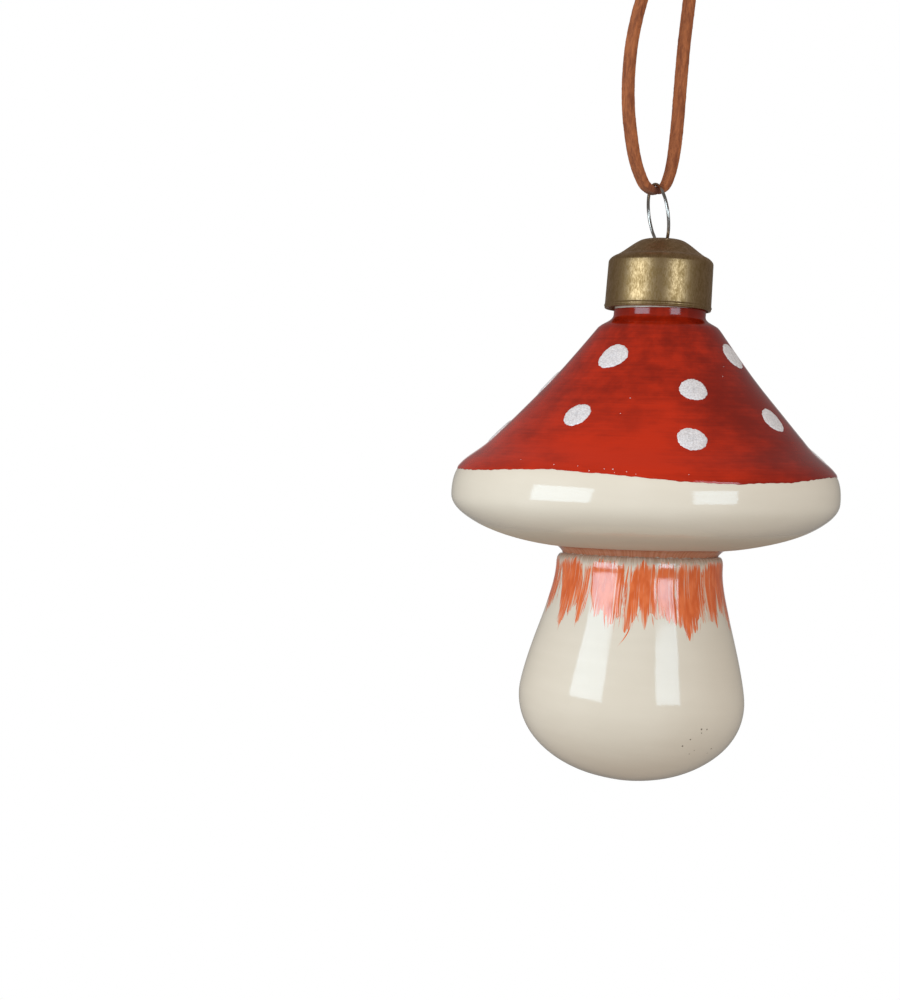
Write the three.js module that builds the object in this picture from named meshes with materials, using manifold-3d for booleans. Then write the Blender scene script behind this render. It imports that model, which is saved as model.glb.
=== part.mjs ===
// Glass mushroom ornament: a hollow blown-glass mushroom with painted cone, stem and glitter dots,
// hung by a stamped metal cap, a spring-wire hanger and a loop of flat suede cord.
// Millimetres, +Z up. The origin is the hanging point, inside the top of the cord loop under its knot.

import * as THREE from 'three';
import { mergeVertices } from 'three/addons/utils/BufferGeometryUtils.js';
import Module from 'manifold-3d';

// Glass radii, measured from the axis
const BULB_RADIUS = 23.4;
const WAIST_RADIUS = 16.4;
const BRIM_RADIUS = 39.9;
const BRIM_LIP_WIDTH = 8.65; // from the brim's edge in to the foot of the cone
const CONE_TOP_RADIUS = 12.4;
const NECK_RADIUS = 9.35;
const GLASS_WALL = 1.1;

// Glass heights, each measured up from the level named before it
const BULB_HEIGHT = 17.4; // bottom of the stem to its widest level
const STEM_TAPER_LENGTH = 29.8; // widest level to the waist under the brim
const UNDERSIDE_RISE = 13.6; // waist to the brim's widest level
const BRIM_LIP_HEIGHT = 10.8; // brim's widest level to the foot of the cone
const CONE_HEIGHT = 22.3;
const NECK_FILLET_HEIGHT = 3.4; // top of the cone to the foot of the neck
const NECK_LENGTH = 10.75;

// Fullness of the glass curves, as shares of the stretch that each one bends
const BULB_BOTTOM_FULLNESS = 0.55;
const BULB_SIDE_FULLNESS = 0.59;
const STEM_LOW_FULLNESS = 0.19;
const STEM_HIGH_FULLNESS = 0.3;
const STEM_LEAN = 0.1; // radius lost per unit of height just under the waist
const UNDERSIDE_RUN_FULLNESS = 0.7;
const UNDERSIDE_RISE_FULLNESS = 0.32;
const BRIM_LOW_FULLNESS = 0.45;
const BRIM_HIGH_FULLNESS = 0.565;
const CONE_FOOT_FULLNESS = 0.55;
const CONE_HOLLOW = 0.5; // depth by which the side of the cone is drawn in
const NECK_FILLET_FULLNESS = 0.5;

// The blown brim sits slightly askew on the stem, higher on one side
const FRONT_ANGLE = THREE.MathUtils.degToRad(-117); // the best side, turned from +X towards +Y
const SKEW_ANGLE = FRONT_ANGLE + Math.PI / 2; // the high side
const BRIM_SKEW = 0.043; // lift per unit of distance across
const SKEW_STEM_FADE = 18.6; // length of stem below the waist over which the lift fades in
const SKEW_NECK_FADE = 8; // length above the cone over which it fades out

// Paint and glitter
const COAT_GAP = 0.15;
const COAT_THICKNESS = 0.2;
const LACQUER_EDGE_ARC = 3.6; // slope distance from the brim's widest level up to the lacquer's edge
const LACQUER_EDGE_WAVE = 1.1;
const LACQUER_EDGE_WAVES = [[2, 0.5, Math.PI], [4, 0.5, Math.PI]]; // times round, share, phase from the front
const LACQUER_NECK_RUN = 0.5; // lacquer above the foot of the neck
const STROKE_TOP_ARC = 1.2; // slope distance from the waist down to the brushwork
const STROKE_LENGTH = 12;
const STROKE_RAG = 2.4; // how far the lower ends of the strokes wander
const STROKE_TOP_RAG = 0.4;
const STROKE_END_WAVES = [[9, 0.5, 0], [23, 0.3, 1], [37, 0.2, 0]];
const STROKE_TOP_WAVES = [[31, 0.6, 0], [17, 0.4, 2]];
const DOT_EDGE_THICKNESS = 0.2;
const DOT_CROWN = 0.5;
const DOT_WANDER = 0.12; // share of its radius by which a dot's outline wanders
const DOT_WANDER_WAVES = [[2, 0.6, 0], [3, 0.4, 2]];
// Dots: degrees round the cone from the front, slope distance up from the brim's widest level, radius
const DOT_PLACES = [
  [-29, 35.8, 3.2], [-31, 20.1, 2.95],
  [20.5, 27.5, 2.95], [15, 14.5, 2.95],
  [66, 36.8, 3.2], [60.5, 19.9, 3.2],
  [112, 27.2, 3.1], [95, 9.8, 3.2],
  [158, 35.2, 3], [151, 19.6, 3.1],
  [199, 27.8, 3.2], [193, 13.2, 3],
  [233, 35.9, 3.1], [227, 20.6, 3],
  [267, 28.6, 3.1], [270, 14.6, 3.1],
];

// Metal cap
const CAP_CLEARANCE = 0.9; // between the neck and the inside of the cap
const CAP_SHEET = 0.5;
const CAP_SIDE_HEIGHT = 10.3; // lip to shoulder
const CAP_LIP_FLARE = 0.2;
const CAP_SHOULDER_DEPTH = 0.9; // length of side that the shoulder rounds off
const CAP_SHOULDER_RUN = 1.6;
const CAP_SHOULDER_RISE = 0.6;
const CAP_CONE_HEIGHT = 3.65; // shoulder to the edge of the crown
const CAP_CROWN_RADIUS = 4.5;
const CAP_CROWN_HEIGHT = 0.45;
const SEAT_GAP = 0.3; // between the rim of the neck and the inside of the cap

// Hanger wire
const WIRE_RADIUS = 0.35;
const LOOP_HALF_WIDTH = 4.25; // middle of the wire
const LOOP_WIDEST_HEIGHT = 5.1; // top of the cap to the widest part of the loop
const LOOP_TOP_HEIGHT = 5.75; // widest part to the top of the loop
const LOOP_THROAT_DEPTH = 6.55; // widest part to where the two sides would meet
const LOOP_THROAT_WIDTH = 5.9; // between the sides of the loop just above the cap
const LOOP_LEAN = THREE.MathUtils.degToRad(12.5); // towards -X
const LEG_SPACING = 5.2;
const LEG_ASIDE = -0.33; // legs and their holes, off the axis along X
const LEG_PINCH = 0.1; // how far the legs draw together under the cap
const LEG_HOLE_CLEARANCE = 0.3;
const LEG_WALL_GAP = 0.3; // between a sprung leg and the neck
const LEG_TAIL_LENGTH = 8; // leg below the foot of the neck
const LEG_TAIL_SPREAD = 1.2;
const LEG_TAIL_BEND = 0.6; // share of the tail over which it spreads

// Suede cord: a flat strip from the crook to the knot. Each point is half the distance between the two
// strands, the height, and how far both hang to one side.
const CORD_WIDTH = 3;
const CORD_THICKNESS = 1.5;
const CORD_CORNER = 0.4;
const CORD_CLEARANCE = 0.3; // between the strip's edges and the wire
const CORD_POINTS = [
  [0, -52.05, -2.73], [2.2, -50.6, -2.8], [3.45, -48.2, -3.05], [4.25, -45.7, -3.35], [4.95, -42, -3.7],
  [5.65, -36, -4.2], [5.95, -29, -4.45], [5.85, -21, -4.2], [5.2, -12, -3.1], [4.3, -6, -2],
  [3.2, -1.2, -1], [2, 1.8, -0.3], [1.1, 3.6, 0],
];
const KNOT_GAP = 0.3;
const KNOT_RADIUS = 4;
const KNOT_HEIGHT = 6.8;
const KNOT_FULLNESS = 0.55;
const KNOT_END_FULLNESS = 0.9;
const TAIL_LENGTH = 9;
const TAIL_SPREAD = 2.6;

// Facets
const GLASS_SEGMENTS = 40;
const CAP_SEGMENTS = 36;
const OUTSIDE_ROWS = { bulb: 9, stem: 6, underside: 8, lip: 8, cone: 3, fillet: 3, neck: 1 };
const INSIDE_ROWS = { bulb: 5, stem: 3, underside: 5, lip: 4, cone: 2, fillet: 2, neck: 1 };
const COAT_ROW_MARGIN = 0.6; // least slope distance between an edge of a coat and its next row
const DOT_SIDES = 12;
const DOT_MID_RING = 0.55;
const WIRE_SIDES = 8;
const WIRE_STEPS = 64;
const LOOP_POINTS = 8;
const CORD_STEPS = 76;
const TAIL_STEPS = 5;
const HOLE_SIDES = 16;
const PROFILE_STEPS = 4;
const MERGE_DISTANCE = 1e-4;

const wasm = await Module();
wasm.setup();

// Levels worked out from the heights above
const waistLevel = BULB_HEIGHT + STEM_TAPER_LENGTH;
const brimLevel = waistLevel + UNDERSIDE_RISE;
const coneFootLevel = brimLevel + BRIM_LIP_HEIGHT;
const coneTopLevel = coneFootLevel + CONE_HEIGHT;
const neckFootLevel = coneTopLevel + NECK_FILLET_HEIGHT;
const neckRimLevel = neckFootLevel + NECK_LENGTH;

// Outside of the glass as one path of (radius, height), from the bottom of the bulb to the rim of the neck
function glassOutline() {
  const bottom = new THREE.Vector2(0, 0);
  const bulb = new THREE.Vector2(BULB_RADIUS, BULB_HEIGHT);
  const waist = new THREE.Vector2(WAIST_RADIUS, waistLevel);
  const brim = new THREE.Vector2(BRIM_RADIUS, brimLevel);
  const coneFoot = new THREE.Vector2(BRIM_RADIUS - BRIM_LIP_WIDTH, coneFootLevel);
  const coneTop = new THREE.Vector2(CONE_TOP_RADIUS, coneTopLevel);
  const neckFoot = new THREE.Vector2(NECK_RADIUS, neckFootLevel);
  const neckRim = new THREE.Vector2(NECK_RADIUS, neckRimLevel);

  const bulbBottomHandle = new THREE.Vector2(BULB_RADIUS * BULB_BOTTOM_FULLNESS, 0);
  const bulbSideHandle = new THREE.Vector2(BULB_RADIUS, BULB_HEIGHT * (1 - BULB_SIDE_FULLNESS));
  const stemLowHandle = new THREE.Vector2(BULB_RADIUS, BULB_HEIGHT + STEM_TAPER_LENGTH * STEM_LOW_FULLNESS);
  const stemHighRun = STEM_TAPER_LENGTH * STEM_HIGH_FULLNESS;
  const stemHighHandle = new THREE.Vector2(WAIST_RADIUS + STEM_LEAN * stemHighRun, waistLevel - stemHighRun);
  const underHandle = new THREE.Vector2(
    WAIST_RADIUS + (BRIM_RADIUS - WAIST_RADIUS) * UNDERSIDE_RUN_FULLNESS,
    waistLevel + UNDERSIDE_RISE * UNDERSIDE_RISE_FULLNESS,
  );
  const brimLowHandle = new THREE.Vector2(BRIM_RADIUS, brimLevel - UNDERSIDE_RISE * BRIM_LOW_FULLNESS);
  const brimHighHandle = new THREE.Vector2(BRIM_RADIUS, brimLevel + BRIM_LIP_HEIGHT * BRIM_HIGH_FULLNESS);

  const side = coneTop.clone().sub(coneFoot);
  const upSlope = side.clone().normalize();
  const drawnIn = new THREE.Vector2(-upSlope.y, upSlope.x).multiplyScalar(CONE_HOLLOW * 4 / 3);
  const footReach = brim.distanceTo(coneFoot) * CONE_FOOT_FULLNESS;
  const footHandle = coneFoot.clone().addScaledVector(upSlope, -footReach);
  const coneLowHandle = coneFoot.clone().addScaledVector(side, 1 / 3).add(drawnIn);
  const coneHighHandle = coneFoot.clone().addScaledVector(side, 2 / 3).add(drawnIn);
  const filletReach = NECK_FILLET_HEIGHT * NECK_FILLET_FULLNESS;
  const filletLowHandle = coneTop.clone().addScaledVector(upSlope, filletReach);
  const filletHighHandle = new THREE.Vector2(NECK_RADIUS, neckFootLevel - filletReach);

  return {
    bulb: new THREE.CubicBezierCurve(bottom, bulbBottomHandle, bulbSideHandle, bulb),
    stem: new THREE.CubicBezierCurve(bulb, stemLowHandle, stemHighHandle, waist),
    underside: new THREE.CubicBezierCurve(waist, underHandle, brimLowHandle, brim),
    lip: new THREE.CubicBezierCurve(brim, brimHighHandle, footHandle, coneFoot),
    cone: new THREE.CubicBezierCurve(coneFoot, coneLowHandle, coneHighHandle, coneTop),
    fillet: new THREE.CubicBezierCurve(coneTop, filletLowHandle, filletHighHandle, neckFoot),
    neck: new THREE.LineCurve(neckFoot, neckRim),
  };
}

const outline = glassOutline();
const outlinePath = new THREE.CurvePath();
for (const stretch of Object.values(outline)) {
  outlinePath.add(stretch);
}
const outlineLength = outlinePath.getLength();
const waistArc = outline.bulb.getLength() + outline.stem.getLength();
const brimArc = waistArc + outline.underside.getLength();
const neckFootArc = outlineLength - outline.neck.getLength();

// Outward normal of an outline curve
function outwardNormal(curve, share) {
  const tangent = curve.getTangentAt(share);
  return new THREE.Vector2(tangent.y, -tangent.x);
}

// Points along one stretch of the outline, moved out by a distance
function stretchPoints(curve, count, distance) {
  const points = [];
  for (let i = 0; i <= count; i += 1) {
    const share = i / count;
    points.push(curve.getPointAt(share).addScaledVector(outwardNormal(curve, share), distance));
  }
  return points;
}

// Lift that the askew brim gives to a point of the glass
function skewLift(x, y, level) {
  const across = x * Math.cos(SKEW_ANGLE) + y * Math.sin(SKEW_ANGLE);
  const fadeIn = THREE.MathUtils.smoothstep(level, waistLevel - SKEW_STEM_FADE, waistLevel);
  const fadeOut = THREE.MathUtils.smoothstep(level, coneTopLevel, coneTopLevel + SKEW_NECK_FADE);
  return BRIM_SKEW * across * fadeIn * (1 - fadeOut);
}

// Turn a profile of (radius, height) points about the Z axis
function turned(points, segments) {
  const geometry = new THREE.LatheGeometry(points, segments);
  geometry.rotateX(Math.PI / 2);
  return geometry;
}

// A point over the glass: slope distance along the outline, angle round the axis, distance off the surface
function overGlass(arc, angle, distance) {
  const tangent = outlinePath.getTangent(arc / outlineLength);
  const point = outlinePath.getPoint(arc / outlineLength);
  const radius = point.x + tangent.y * distance;
  const x = radius * Math.cos(angle);
  const y = radius * Math.sin(angle);
  return new THREE.Vector3(x, y, point.y - tangent.x * distance + skewLift(x, y, point.y));
}

// Geometry from a list of points and corner triples
function meshed(points, triangles) {
  const geometry = new THREE.BufferGeometry().setFromPoints(points);
  geometry.setIndex(triangles);
  geometry.computeVertexNormals();
  return geometry;
}

function addQuad(triangles, a, b, c, d) {
  triangles.push(a, b, c, a, c, d);
}

// Sum of waves round a circle, each given as [times round, share, phase]
function waved(waves, angle) {
  return waves.reduce((sum, [times, share, phase]) => sum + share * Math.sin(times * angle + phase), 0);
}

// Closed solids for cutting and joining
function solidFrom(geometry) {
  const bare = geometry.clone();
  bare.deleteAttribute('normal');
  bare.deleteAttribute('uv');
  const merged = mergeVertices(bare, MERGE_DISTANCE);
  const corners = merged.index.array;
  const kept = [];
  for (let i = 0; i < corners.length; i += 3) {
    const [a, b, c] = [corners[i], corners[i + 1], corners[i + 2]];
    if (a !== b && b !== c && c !== a) {
      kept.push(a, b, c);
    }
  }
  const vertProperties = Float32Array.from(merged.attributes.position.array);
  return new wasm.Manifold(new wasm.Mesh({ numProp: 3, vertProperties, triVerts: Uint32Array.from(kept) }));
}

function geometryFrom(solid) {
  const mesh = solid.getMesh();
  const geometry = new THREE.BufferGeometry();
  geometry.setAttribute('position', new THREE.BufferAttribute(Float32Array.from(mesh.vertProperties), 3));
  geometry.setIndex(new THREE.BufferAttribute(Uint32Array.from(mesh.triVerts), 1));
  geometry.computeVertexNormals();
  return geometry;
}

// Hollow blown shell, open at the rim of the neck
function glassBody() {
  const outside = [];
  const inside = [];
  for (const [name, curve] of Object.entries(outline)) {
    outside.push(...stretchPoints(curve, OUTSIDE_ROWS[name], 0));
    inside.push(...stretchPoints(curve, INSIDE_ROWS[name], -GLASS_WALL));
  }
  inside[0].x = 0;
  const profile = [...outside, ...inside.reverse()];
  const clean = profile.filter((point, i) => i === 0 || point.distanceTo(profile[i - 1]) > MERGE_DISTANCE);
  const geometry = turned(clean, GLASS_SEGMENTS);
  const position = geometry.attributes.position;
  for (let i = 0; i < position.count; i += 1) {
    const [x, y, z] = [position.getX(i), position.getY(i), position.getZ(i)];
    position.setZ(i, z + skewLift(x, y, z));
  }
  return geometry;
}

// Slope distances at which the facets of the glass meet
function glassRowArcs() {
  const arcs = [];
  let start = 0;
  for (const [name, curve] of Object.entries(outline)) {
    for (let i = 0; i < OUTSIDE_ROWS[name]; i += 1) {
      arcs.push(start + curve.getLength() * i / OUTSIDE_ROWS[name]);
    }
    start += curve.getLength();
  }
  return arcs;
}

// Thin coat round the glass between two edges, each a slope distance that depends on the angle.
// Between the edges its facets follow those of the glass, with one more row beside the lower edge.
function coat(lowEdge, highEdge, steps) {
  const angles = [];
  for (let i = 0; i < steps; i += 1) {
    angles.push(2 * Math.PI * i / steps);
  }
  const lowLimit = Math.max(...angles.map(lowEdge)) + COAT_ROW_MARGIN;
  const highLimit = Math.min(...angles.map(highEdge)) - COAT_ROW_MARGIN;
  const middleRows = glassRowArcs().filter((arc) => arc > lowLimit && arc < highLimit);
  const besideEdge = (angle) => (lowEdge(angle) + middleRows[0]) / 2;
  const points = [];
  for (const distance of [COAT_GAP, COAT_GAP + COAT_THICKNESS]) {
    for (const angle of angles) {
      for (const arc of [lowEdge(angle), besideEdge(angle), ...middleRows, highEdge(angle)]) {
        points.push(overGlass(arc, angle, distance));
      }
    }
  }
  const rows = middleRows.length + 2;
  const outer = steps * (rows + 1);
  const at = (layer, i, j) => layer + (i % steps) * (rows + 1) + j;
  const triangles = [];
  for (let i = 0; i < steps; i += 1) {
    for (let j = 0; j < rows; j += 1) {
      addQuad(triangles, at(outer, i, j), at(outer, i + 1, j), at(outer, i + 1, j + 1), at(outer, i, j + 1));
      addQuad(triangles, at(0, i, j), at(0, i, j + 1), at(0, i + 1, j + 1), at(0, i + 1, j));
    }
    addQuad(triangles, at(outer, i, 0), at(0, i, 0), at(0, i + 1, 0), at(outer, i + 1, 0));
    addQuad(triangles, at(outer, i, rows), at(outer, i + 1, rows), at(0, i + 1, rows), at(0, i, rows));
  }
  return meshed(points, triangles);
}

function capLacquer() {
  const wave = (angle) => LACQUER_EDGE_WAVE * waved(LACQUER_EDGE_WAVES, angle - FRONT_ANGLE);
  const lowEdge = (angle) => brimArc + LACQUER_EDGE_ARC + wave(angle);
  const highEdge = () => neckFootArc + LACQUER_NECK_RUN;
  return coat(lowEdge, highEdge, GLASS_SEGMENTS);
}

function stemBrushwork() {
  const topArc = waistArc - STROKE_TOP_ARC;
  const highEdge = (angle) => topArc + STROKE_TOP_RAG * waved(STROKE_TOP_WAVES, angle);
  const lowEdge = (angle) => topArc - STROKE_LENGTH + STROKE_RAG * waved(STROKE_END_WAVES, angle);
  return coat(lowEdge, highEdge, 2 * GLASS_SEGMENTS);
}

// Low dome of glitter whose outline wanders, turned differently from dot to dot
function glitterDot(angle, arc, radius, variety) {
  const base = 2 * COAT_GAP + COAT_THICKNESS;
  const middleRadius = outlinePath.getPoint(arc / outlineLength).x;
  const points = [overGlass(arc, angle, base)];
  const rings = [
    [DOT_MID_RING, base],
    [1, base],
    [1, base + DOT_EDGE_THICKNESS],
    [DOT_MID_RING, base + DOT_CROWN],
  ];
  for (const [share, distance] of rings) {
    for (let i = 0; i < DOT_SIDES; i += 1) {
      const turn = 2 * Math.PI * i / DOT_SIDES;
      const wander = 1 + DOT_WANDER * waved(DOT_WANDER_WAVES, turn + variety);
      const reach = radius * share * wander;
      const around = angle + reach * Math.sin(turn) / middleRadius;
      points.push(overGlass(arc + reach * Math.cos(turn), around, distance));
    }
  }
  points.push(overGlass(arc, angle, base + DOT_CROWN));
  const crown = points.length - 1;
  const at = (ring, i) => 1 + ring * DOT_SIDES + (i % DOT_SIDES);
  const triangles = [];
  for (let i = 0; i < DOT_SIDES; i += 1) {
    triangles.push(0, at(0, i), at(0, i + 1));
    for (let ring = 0; ring < rings.length - 1; ring += 1) {
      addQuad(triangles, at(ring, i), at(ring + 1, i), at(ring + 1, i + 1), at(ring, i + 1));
    }
    triangles.push(crown, at(rings.length - 1, i + 1), at(rings.length - 1, i));
  }
  return meshed(points, triangles);
}

// Stamped cap, with heights from its lip
const capInsideRadius = NECK_RADIUS + CAP_CLEARANCE;
const capShoulderLevel = CAP_SIDE_HEIGHT;
const capCrownEdgeLevel = capShoulderLevel + CAP_CONE_HEIGHT;
const capTopLevel = capCrownEdgeLevel + CAP_CROWN_HEIGHT;

// Outside of the cap, or a face that lies a sheet's thickness within it
function capFace(inset) {
  const radius = capInsideRadius + CAP_SHEET - inset;
  const path = new THREE.Path();
  path.moveTo(radius + CAP_LIP_FLARE, 0);
  path.lineTo(radius, capShoulderLevel - CAP_SHOULDER_DEPTH);
  path.quadraticCurveTo(
    radius, capShoulderLevel,
    radius - CAP_SHOULDER_RUN, capShoulderLevel + CAP_SHOULDER_RISE - inset,
  );
  path.lineTo(CAP_CROWN_RADIUS, capCrownEdgeLevel - inset);
  path.quadraticCurveTo(CAP_CROWN_RADIUS / 2, capTopLevel - inset, 0, capTopLevel - inset);
  return path.getPoints(PROFILE_STEPS);
}

// Height of a face of the cap at a radius
function faceLevel(face, radius) {
  for (let i = 1; i < face.length; i += 1) {
    const [low, high] = [face[i - 1], face[i]];
    if (low.x >= radius && high.x <= radius) {
      return THREE.MathUtils.mapLinear(radius, low.x, high.x, low.y, high.y);
    }
  }
  return face[face.length - 1].y;
}

const capInside = capFace(CAP_SHEET);
const capLipLevel = neckRimLevel + SEAT_GAP - faceLevel(capInside, NECK_RADIUS);

function metalCap() {
  const profile = [...capInside.slice().reverse(), ...capFace(0)];
  let cap = solidFrom(turned(profile, CAP_SEGMENTS));
  for (const side of [-1, 1]) {
    const hole = new THREE.CylinderGeometry(
      WIRE_RADIUS + LEG_HOLE_CLEARANCE, WIRE_RADIUS + LEG_HOLE_CLEARANCE, capTopLevel, HOLE_SIDES,
    );
    hole.rotateX(Math.PI / 2);
    hole.translate(LEG_ASIDE, side * LEG_SPACING / 2, capTopLevel);
    cap = cap.subtract(solidFrom(hole));
  }
  return geometryFrom(cap);
}

// Round or flat section swept along a curve
function swept(shape, curve, steps) {
  const settings = { steps, extrudePath: curve, bevelEnabled: false, curveSegments: 1 };
  return new THREE.ExtrudeGeometry(shape, settings);
}

function roundSection(radius, sides) {
  const corners = [];
  for (let i = 0; i < sides; i += 1) {
    const turn = 2 * Math.PI * i / sides;
    corners.push(new THREE.Vector2(radius * Math.cos(turn), radius * Math.sin(turn)));
  }
  return new THREE.Shape(corners);
}

const capTop = capLipLevel + capTopLevel;
const loopTop = capTop + LOOP_WIDEST_HEIGHT + LOOP_TOP_HEIGHT;

// A point of the wire's bent plane, which leans over above the cap
function wirePoint(y, z) {
  return new THREE.Vector3(LEG_ASIDE - Math.tan(LOOP_LEAN) * Math.max(z - capTop, 0), y, z);
}

// One spring wire: a tall loop whose ends go down through the cap and spread in the neck
function hangerWire() {
  const throat = Math.PI - Math.asin(LOOP_THROAT_WIDTH / 2 / LOOP_HALF_WIDTH);
  const half = [];
  for (let i = 0; i <= LOOP_POINTS; i += 1) {
    const turn = throat * i / LOOP_POINTS;
    const reach = turn < Math.PI / 2 ? LOOP_TOP_HEIGHT : LOOP_THROAT_DEPTH;
    half.push([LOOP_HALF_WIDTH * Math.sin(turn), capTop + LOOP_WIDEST_HEIGHT + reach * Math.cos(turn)]);
  }
  const legY = LEG_SPACING / 2;
  const wallY = NECK_RADIUS - GLASS_WALL - LEG_WALL_GAP - WIRE_RADIUS;
  const neckQuarter = NECK_LENGTH / 4;
  half.push([legY, capTop - WIRE_RADIUS]);
  half.push([legY - LEG_PINCH, capTop - CAP_CONE_HEIGHT / 2]);
  half.push([(legY + wallY) / 2, neckFootLevel + 3 * neckQuarter]);
  half.push([wallY - WIRE_RADIUS, neckFootLevel + neckQuarter]);
  half.push([wallY, neckFootLevel]);
  half.push([wallY + LEG_TAIL_SPREAD, neckFootLevel - LEG_TAIL_LENGTH * LEG_TAIL_BEND]);
  half.push([wallY + LEG_TAIL_SPREAD, neckFootLevel - LEG_TAIL_LENGTH]);
  const points = half.slice(1).reverse().map(([y, z]) => wirePoint(-y, z));
  points.push(...half.map(([y, z]) => wirePoint(y, z)));
  const curve = new THREE.CatmullRomCurve3(points, false, 'centripetal');
  return swept(roundSection(WIRE_RADIUS, WIRE_SIDES), curve, WIRE_STEPS);
}

// Flat section of the suede strip: its width lies along Y and its thickness in the plane of the loop
function stripSection() {
  const [w, t] = [CORD_WIDTH / 2, CORD_THICKNESS / 2];
  const corners = [
    [w, -t + CORD_CORNER], [w, t - CORD_CORNER], [w - CORD_CORNER, t], [-w + CORD_CORNER, t],
    [-w, t - CORD_CORNER], [-w, -t + CORD_CORNER], [-w + CORD_CORNER, -t], [w - CORD_CORNER, -t],
  ];
  return new THREE.Shape(corners.map(([x, y]) => new THREE.Vector2(x, y)));
}

function suedeCord() {
  const points = CORD_POINTS.slice(1).reverse().map(([x, z, aside]) => new THREE.Vector3(aside - x, 0, z));
  points.push(...CORD_POINTS.map(([x, z, aside]) => new THREE.Vector3(aside + x, 0, z)));
  const curve = new THREE.CatmullRomCurve3(points, false, 'centripetal');
  return swept(stripSection(), curve, CORD_STEPS);
}

// Knot in the doubled strip, with its two cut tails standing up
function cordKnot() {
  const [endX, endZ] = CORD_POINTS[CORD_POINTS.length - 1];
  const bottom = endZ + KNOT_GAP + CORD_CORNER;
  const middle = bottom + KNOT_HEIGHT / 2;
  const top = bottom + KNOT_HEIGHT;
  const reach = KNOT_HEIGHT / 2 * KNOT_FULLNESS;
  const endReach = KNOT_RADIUS * KNOT_END_FULLNESS;
  const lump = new THREE.Path();
  lump.moveTo(0, bottom);
  lump.lineTo(KNOT_RADIUS / 2, bottom);
  lump.bezierCurveTo(endReach, bottom, KNOT_RADIUS, middle - reach, KNOT_RADIUS, middle);
  lump.bezierCurveTo(KNOT_RADIUS, middle + reach, endReach, top, KNOT_RADIUS / 2, top);
  lump.lineTo(0, top);
  let knot = solidFrom(turned(lump.getPoints(PROFILE_STEPS), HOLE_SIDES));
  for (const side of [-1, 1]) {
    const tail = new THREE.CatmullRomCurve3([
      new THREE.Vector3(side * endX, 0, middle),
      new THREE.Vector3(side * endX, 0, top),
      new THREE.Vector3(side * (endX + TAIL_SPREAD), 0, top + TAIL_LENGTH),
    ], false, 'centripetal');
    knot = knot.add(solidFrom(swept(stripSection(), tail, TAIL_STEPS)));
  }
  return geometryFrom(knot);
}

const finishes = {
  glass: { color: 0xe3dac7, roughness: 0.12, metalness: 0 },
  lacquer: { color: 0xa8281b, roughness: 0.15, metalness: 0 },
  brushwork: { color: 0xd9622f, roughness: 0.3, metalness: 0 },
  glitter: { color: 0xdfe1e6, roughness: 0.6, metalness: 0.1 },
  brass: { color: 0x8d7848, roughness: 0.35, metalness: 1 },
  steel: { color: 0xc6c6c2, roughness: 0.2, metalness: 1 },
  suede: { color: 0x96492a, roughness: 0.95, metalness: 0 },
};

function named(name, geometry, finish) {
  const mesh = new THREE.Mesh(geometry, new THREE.MeshStandardMaterial(finishes[finish]));
  mesh.name = name;
  return mesh;
}

// The ornament stands on its own level 0 and hangs by the wire's loop in the crook of the cord
const ornament = new THREE.Group();
ornament.add(named('glass_body', glassBody(), 'glass'));
ornament.add(named('cap_lacquer', capLacquer(), 'lacquer'));
ornament.add(named('stem_brushwork', stemBrushwork(), 'brushwork'));
DOT_PLACES.forEach(([degrees, slope, radius], i) => {
  const angle = FRONT_ANGLE + THREE.MathUtils.degToRad(degrees);
  const name = `glitter_dot_${String(i + 1).padStart(2, '0')}`;
  ornament.add(named(name, glitterDot(angle, brimArc + slope, radius, i + 1), 'glitter'));
});
const cap = named('metal_cap', metalCap(), 'brass');
cap.position.z = capLipLevel;
ornament.add(cap);
ornament.add(named('hanger_wire', hangerWire(), 'steel'));

// The strip is straight across, so the bent top of the wire keeps clear of its two edges
const bendRadius = LOOP_HALF_WIDTH ** 2 / LOOP_TOP_HEIGHT - WIRE_RADIUS;
const edgeDrop = bendRadius - Math.sqrt(bendRadius ** 2 - (CORD_WIDTH / 2) ** 2);
const crookLevel = CORD_POINTS[0][1] + CORD_THICKNESS / 2;
ornament.position.z = crookLevel + CORD_CLEARANCE + edgeDrop - loopTop + WIRE_RADIUS;

const group = new THREE.Group();
group.add(ornament);
group.add(named('suede_cord', suedeCord(), 'suede'));
group.add(named('cord_knot', cordKnot(), 'suede'));

export default group;
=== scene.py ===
"""Looks of the glass mushroom ornament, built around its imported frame. Metres, +Z up."""

from math import asin, cos, pi, radians, sin, sqrt, tan

import bpy
import numpy as np
from mathutils import Matrix, Vector


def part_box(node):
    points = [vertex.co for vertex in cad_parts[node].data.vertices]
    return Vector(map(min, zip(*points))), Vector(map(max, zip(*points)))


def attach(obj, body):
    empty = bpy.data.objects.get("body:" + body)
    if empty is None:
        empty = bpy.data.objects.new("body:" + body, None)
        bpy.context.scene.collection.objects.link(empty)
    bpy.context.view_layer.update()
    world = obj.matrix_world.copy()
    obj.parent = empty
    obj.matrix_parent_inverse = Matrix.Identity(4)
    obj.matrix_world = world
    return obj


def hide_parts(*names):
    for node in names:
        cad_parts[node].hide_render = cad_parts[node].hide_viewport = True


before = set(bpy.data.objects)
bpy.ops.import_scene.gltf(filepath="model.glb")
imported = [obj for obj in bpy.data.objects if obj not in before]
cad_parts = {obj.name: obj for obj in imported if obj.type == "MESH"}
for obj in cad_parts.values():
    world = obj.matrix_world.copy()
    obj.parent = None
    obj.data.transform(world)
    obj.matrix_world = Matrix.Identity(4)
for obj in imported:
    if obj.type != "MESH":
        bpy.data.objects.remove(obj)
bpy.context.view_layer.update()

MM = 0.001

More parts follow.
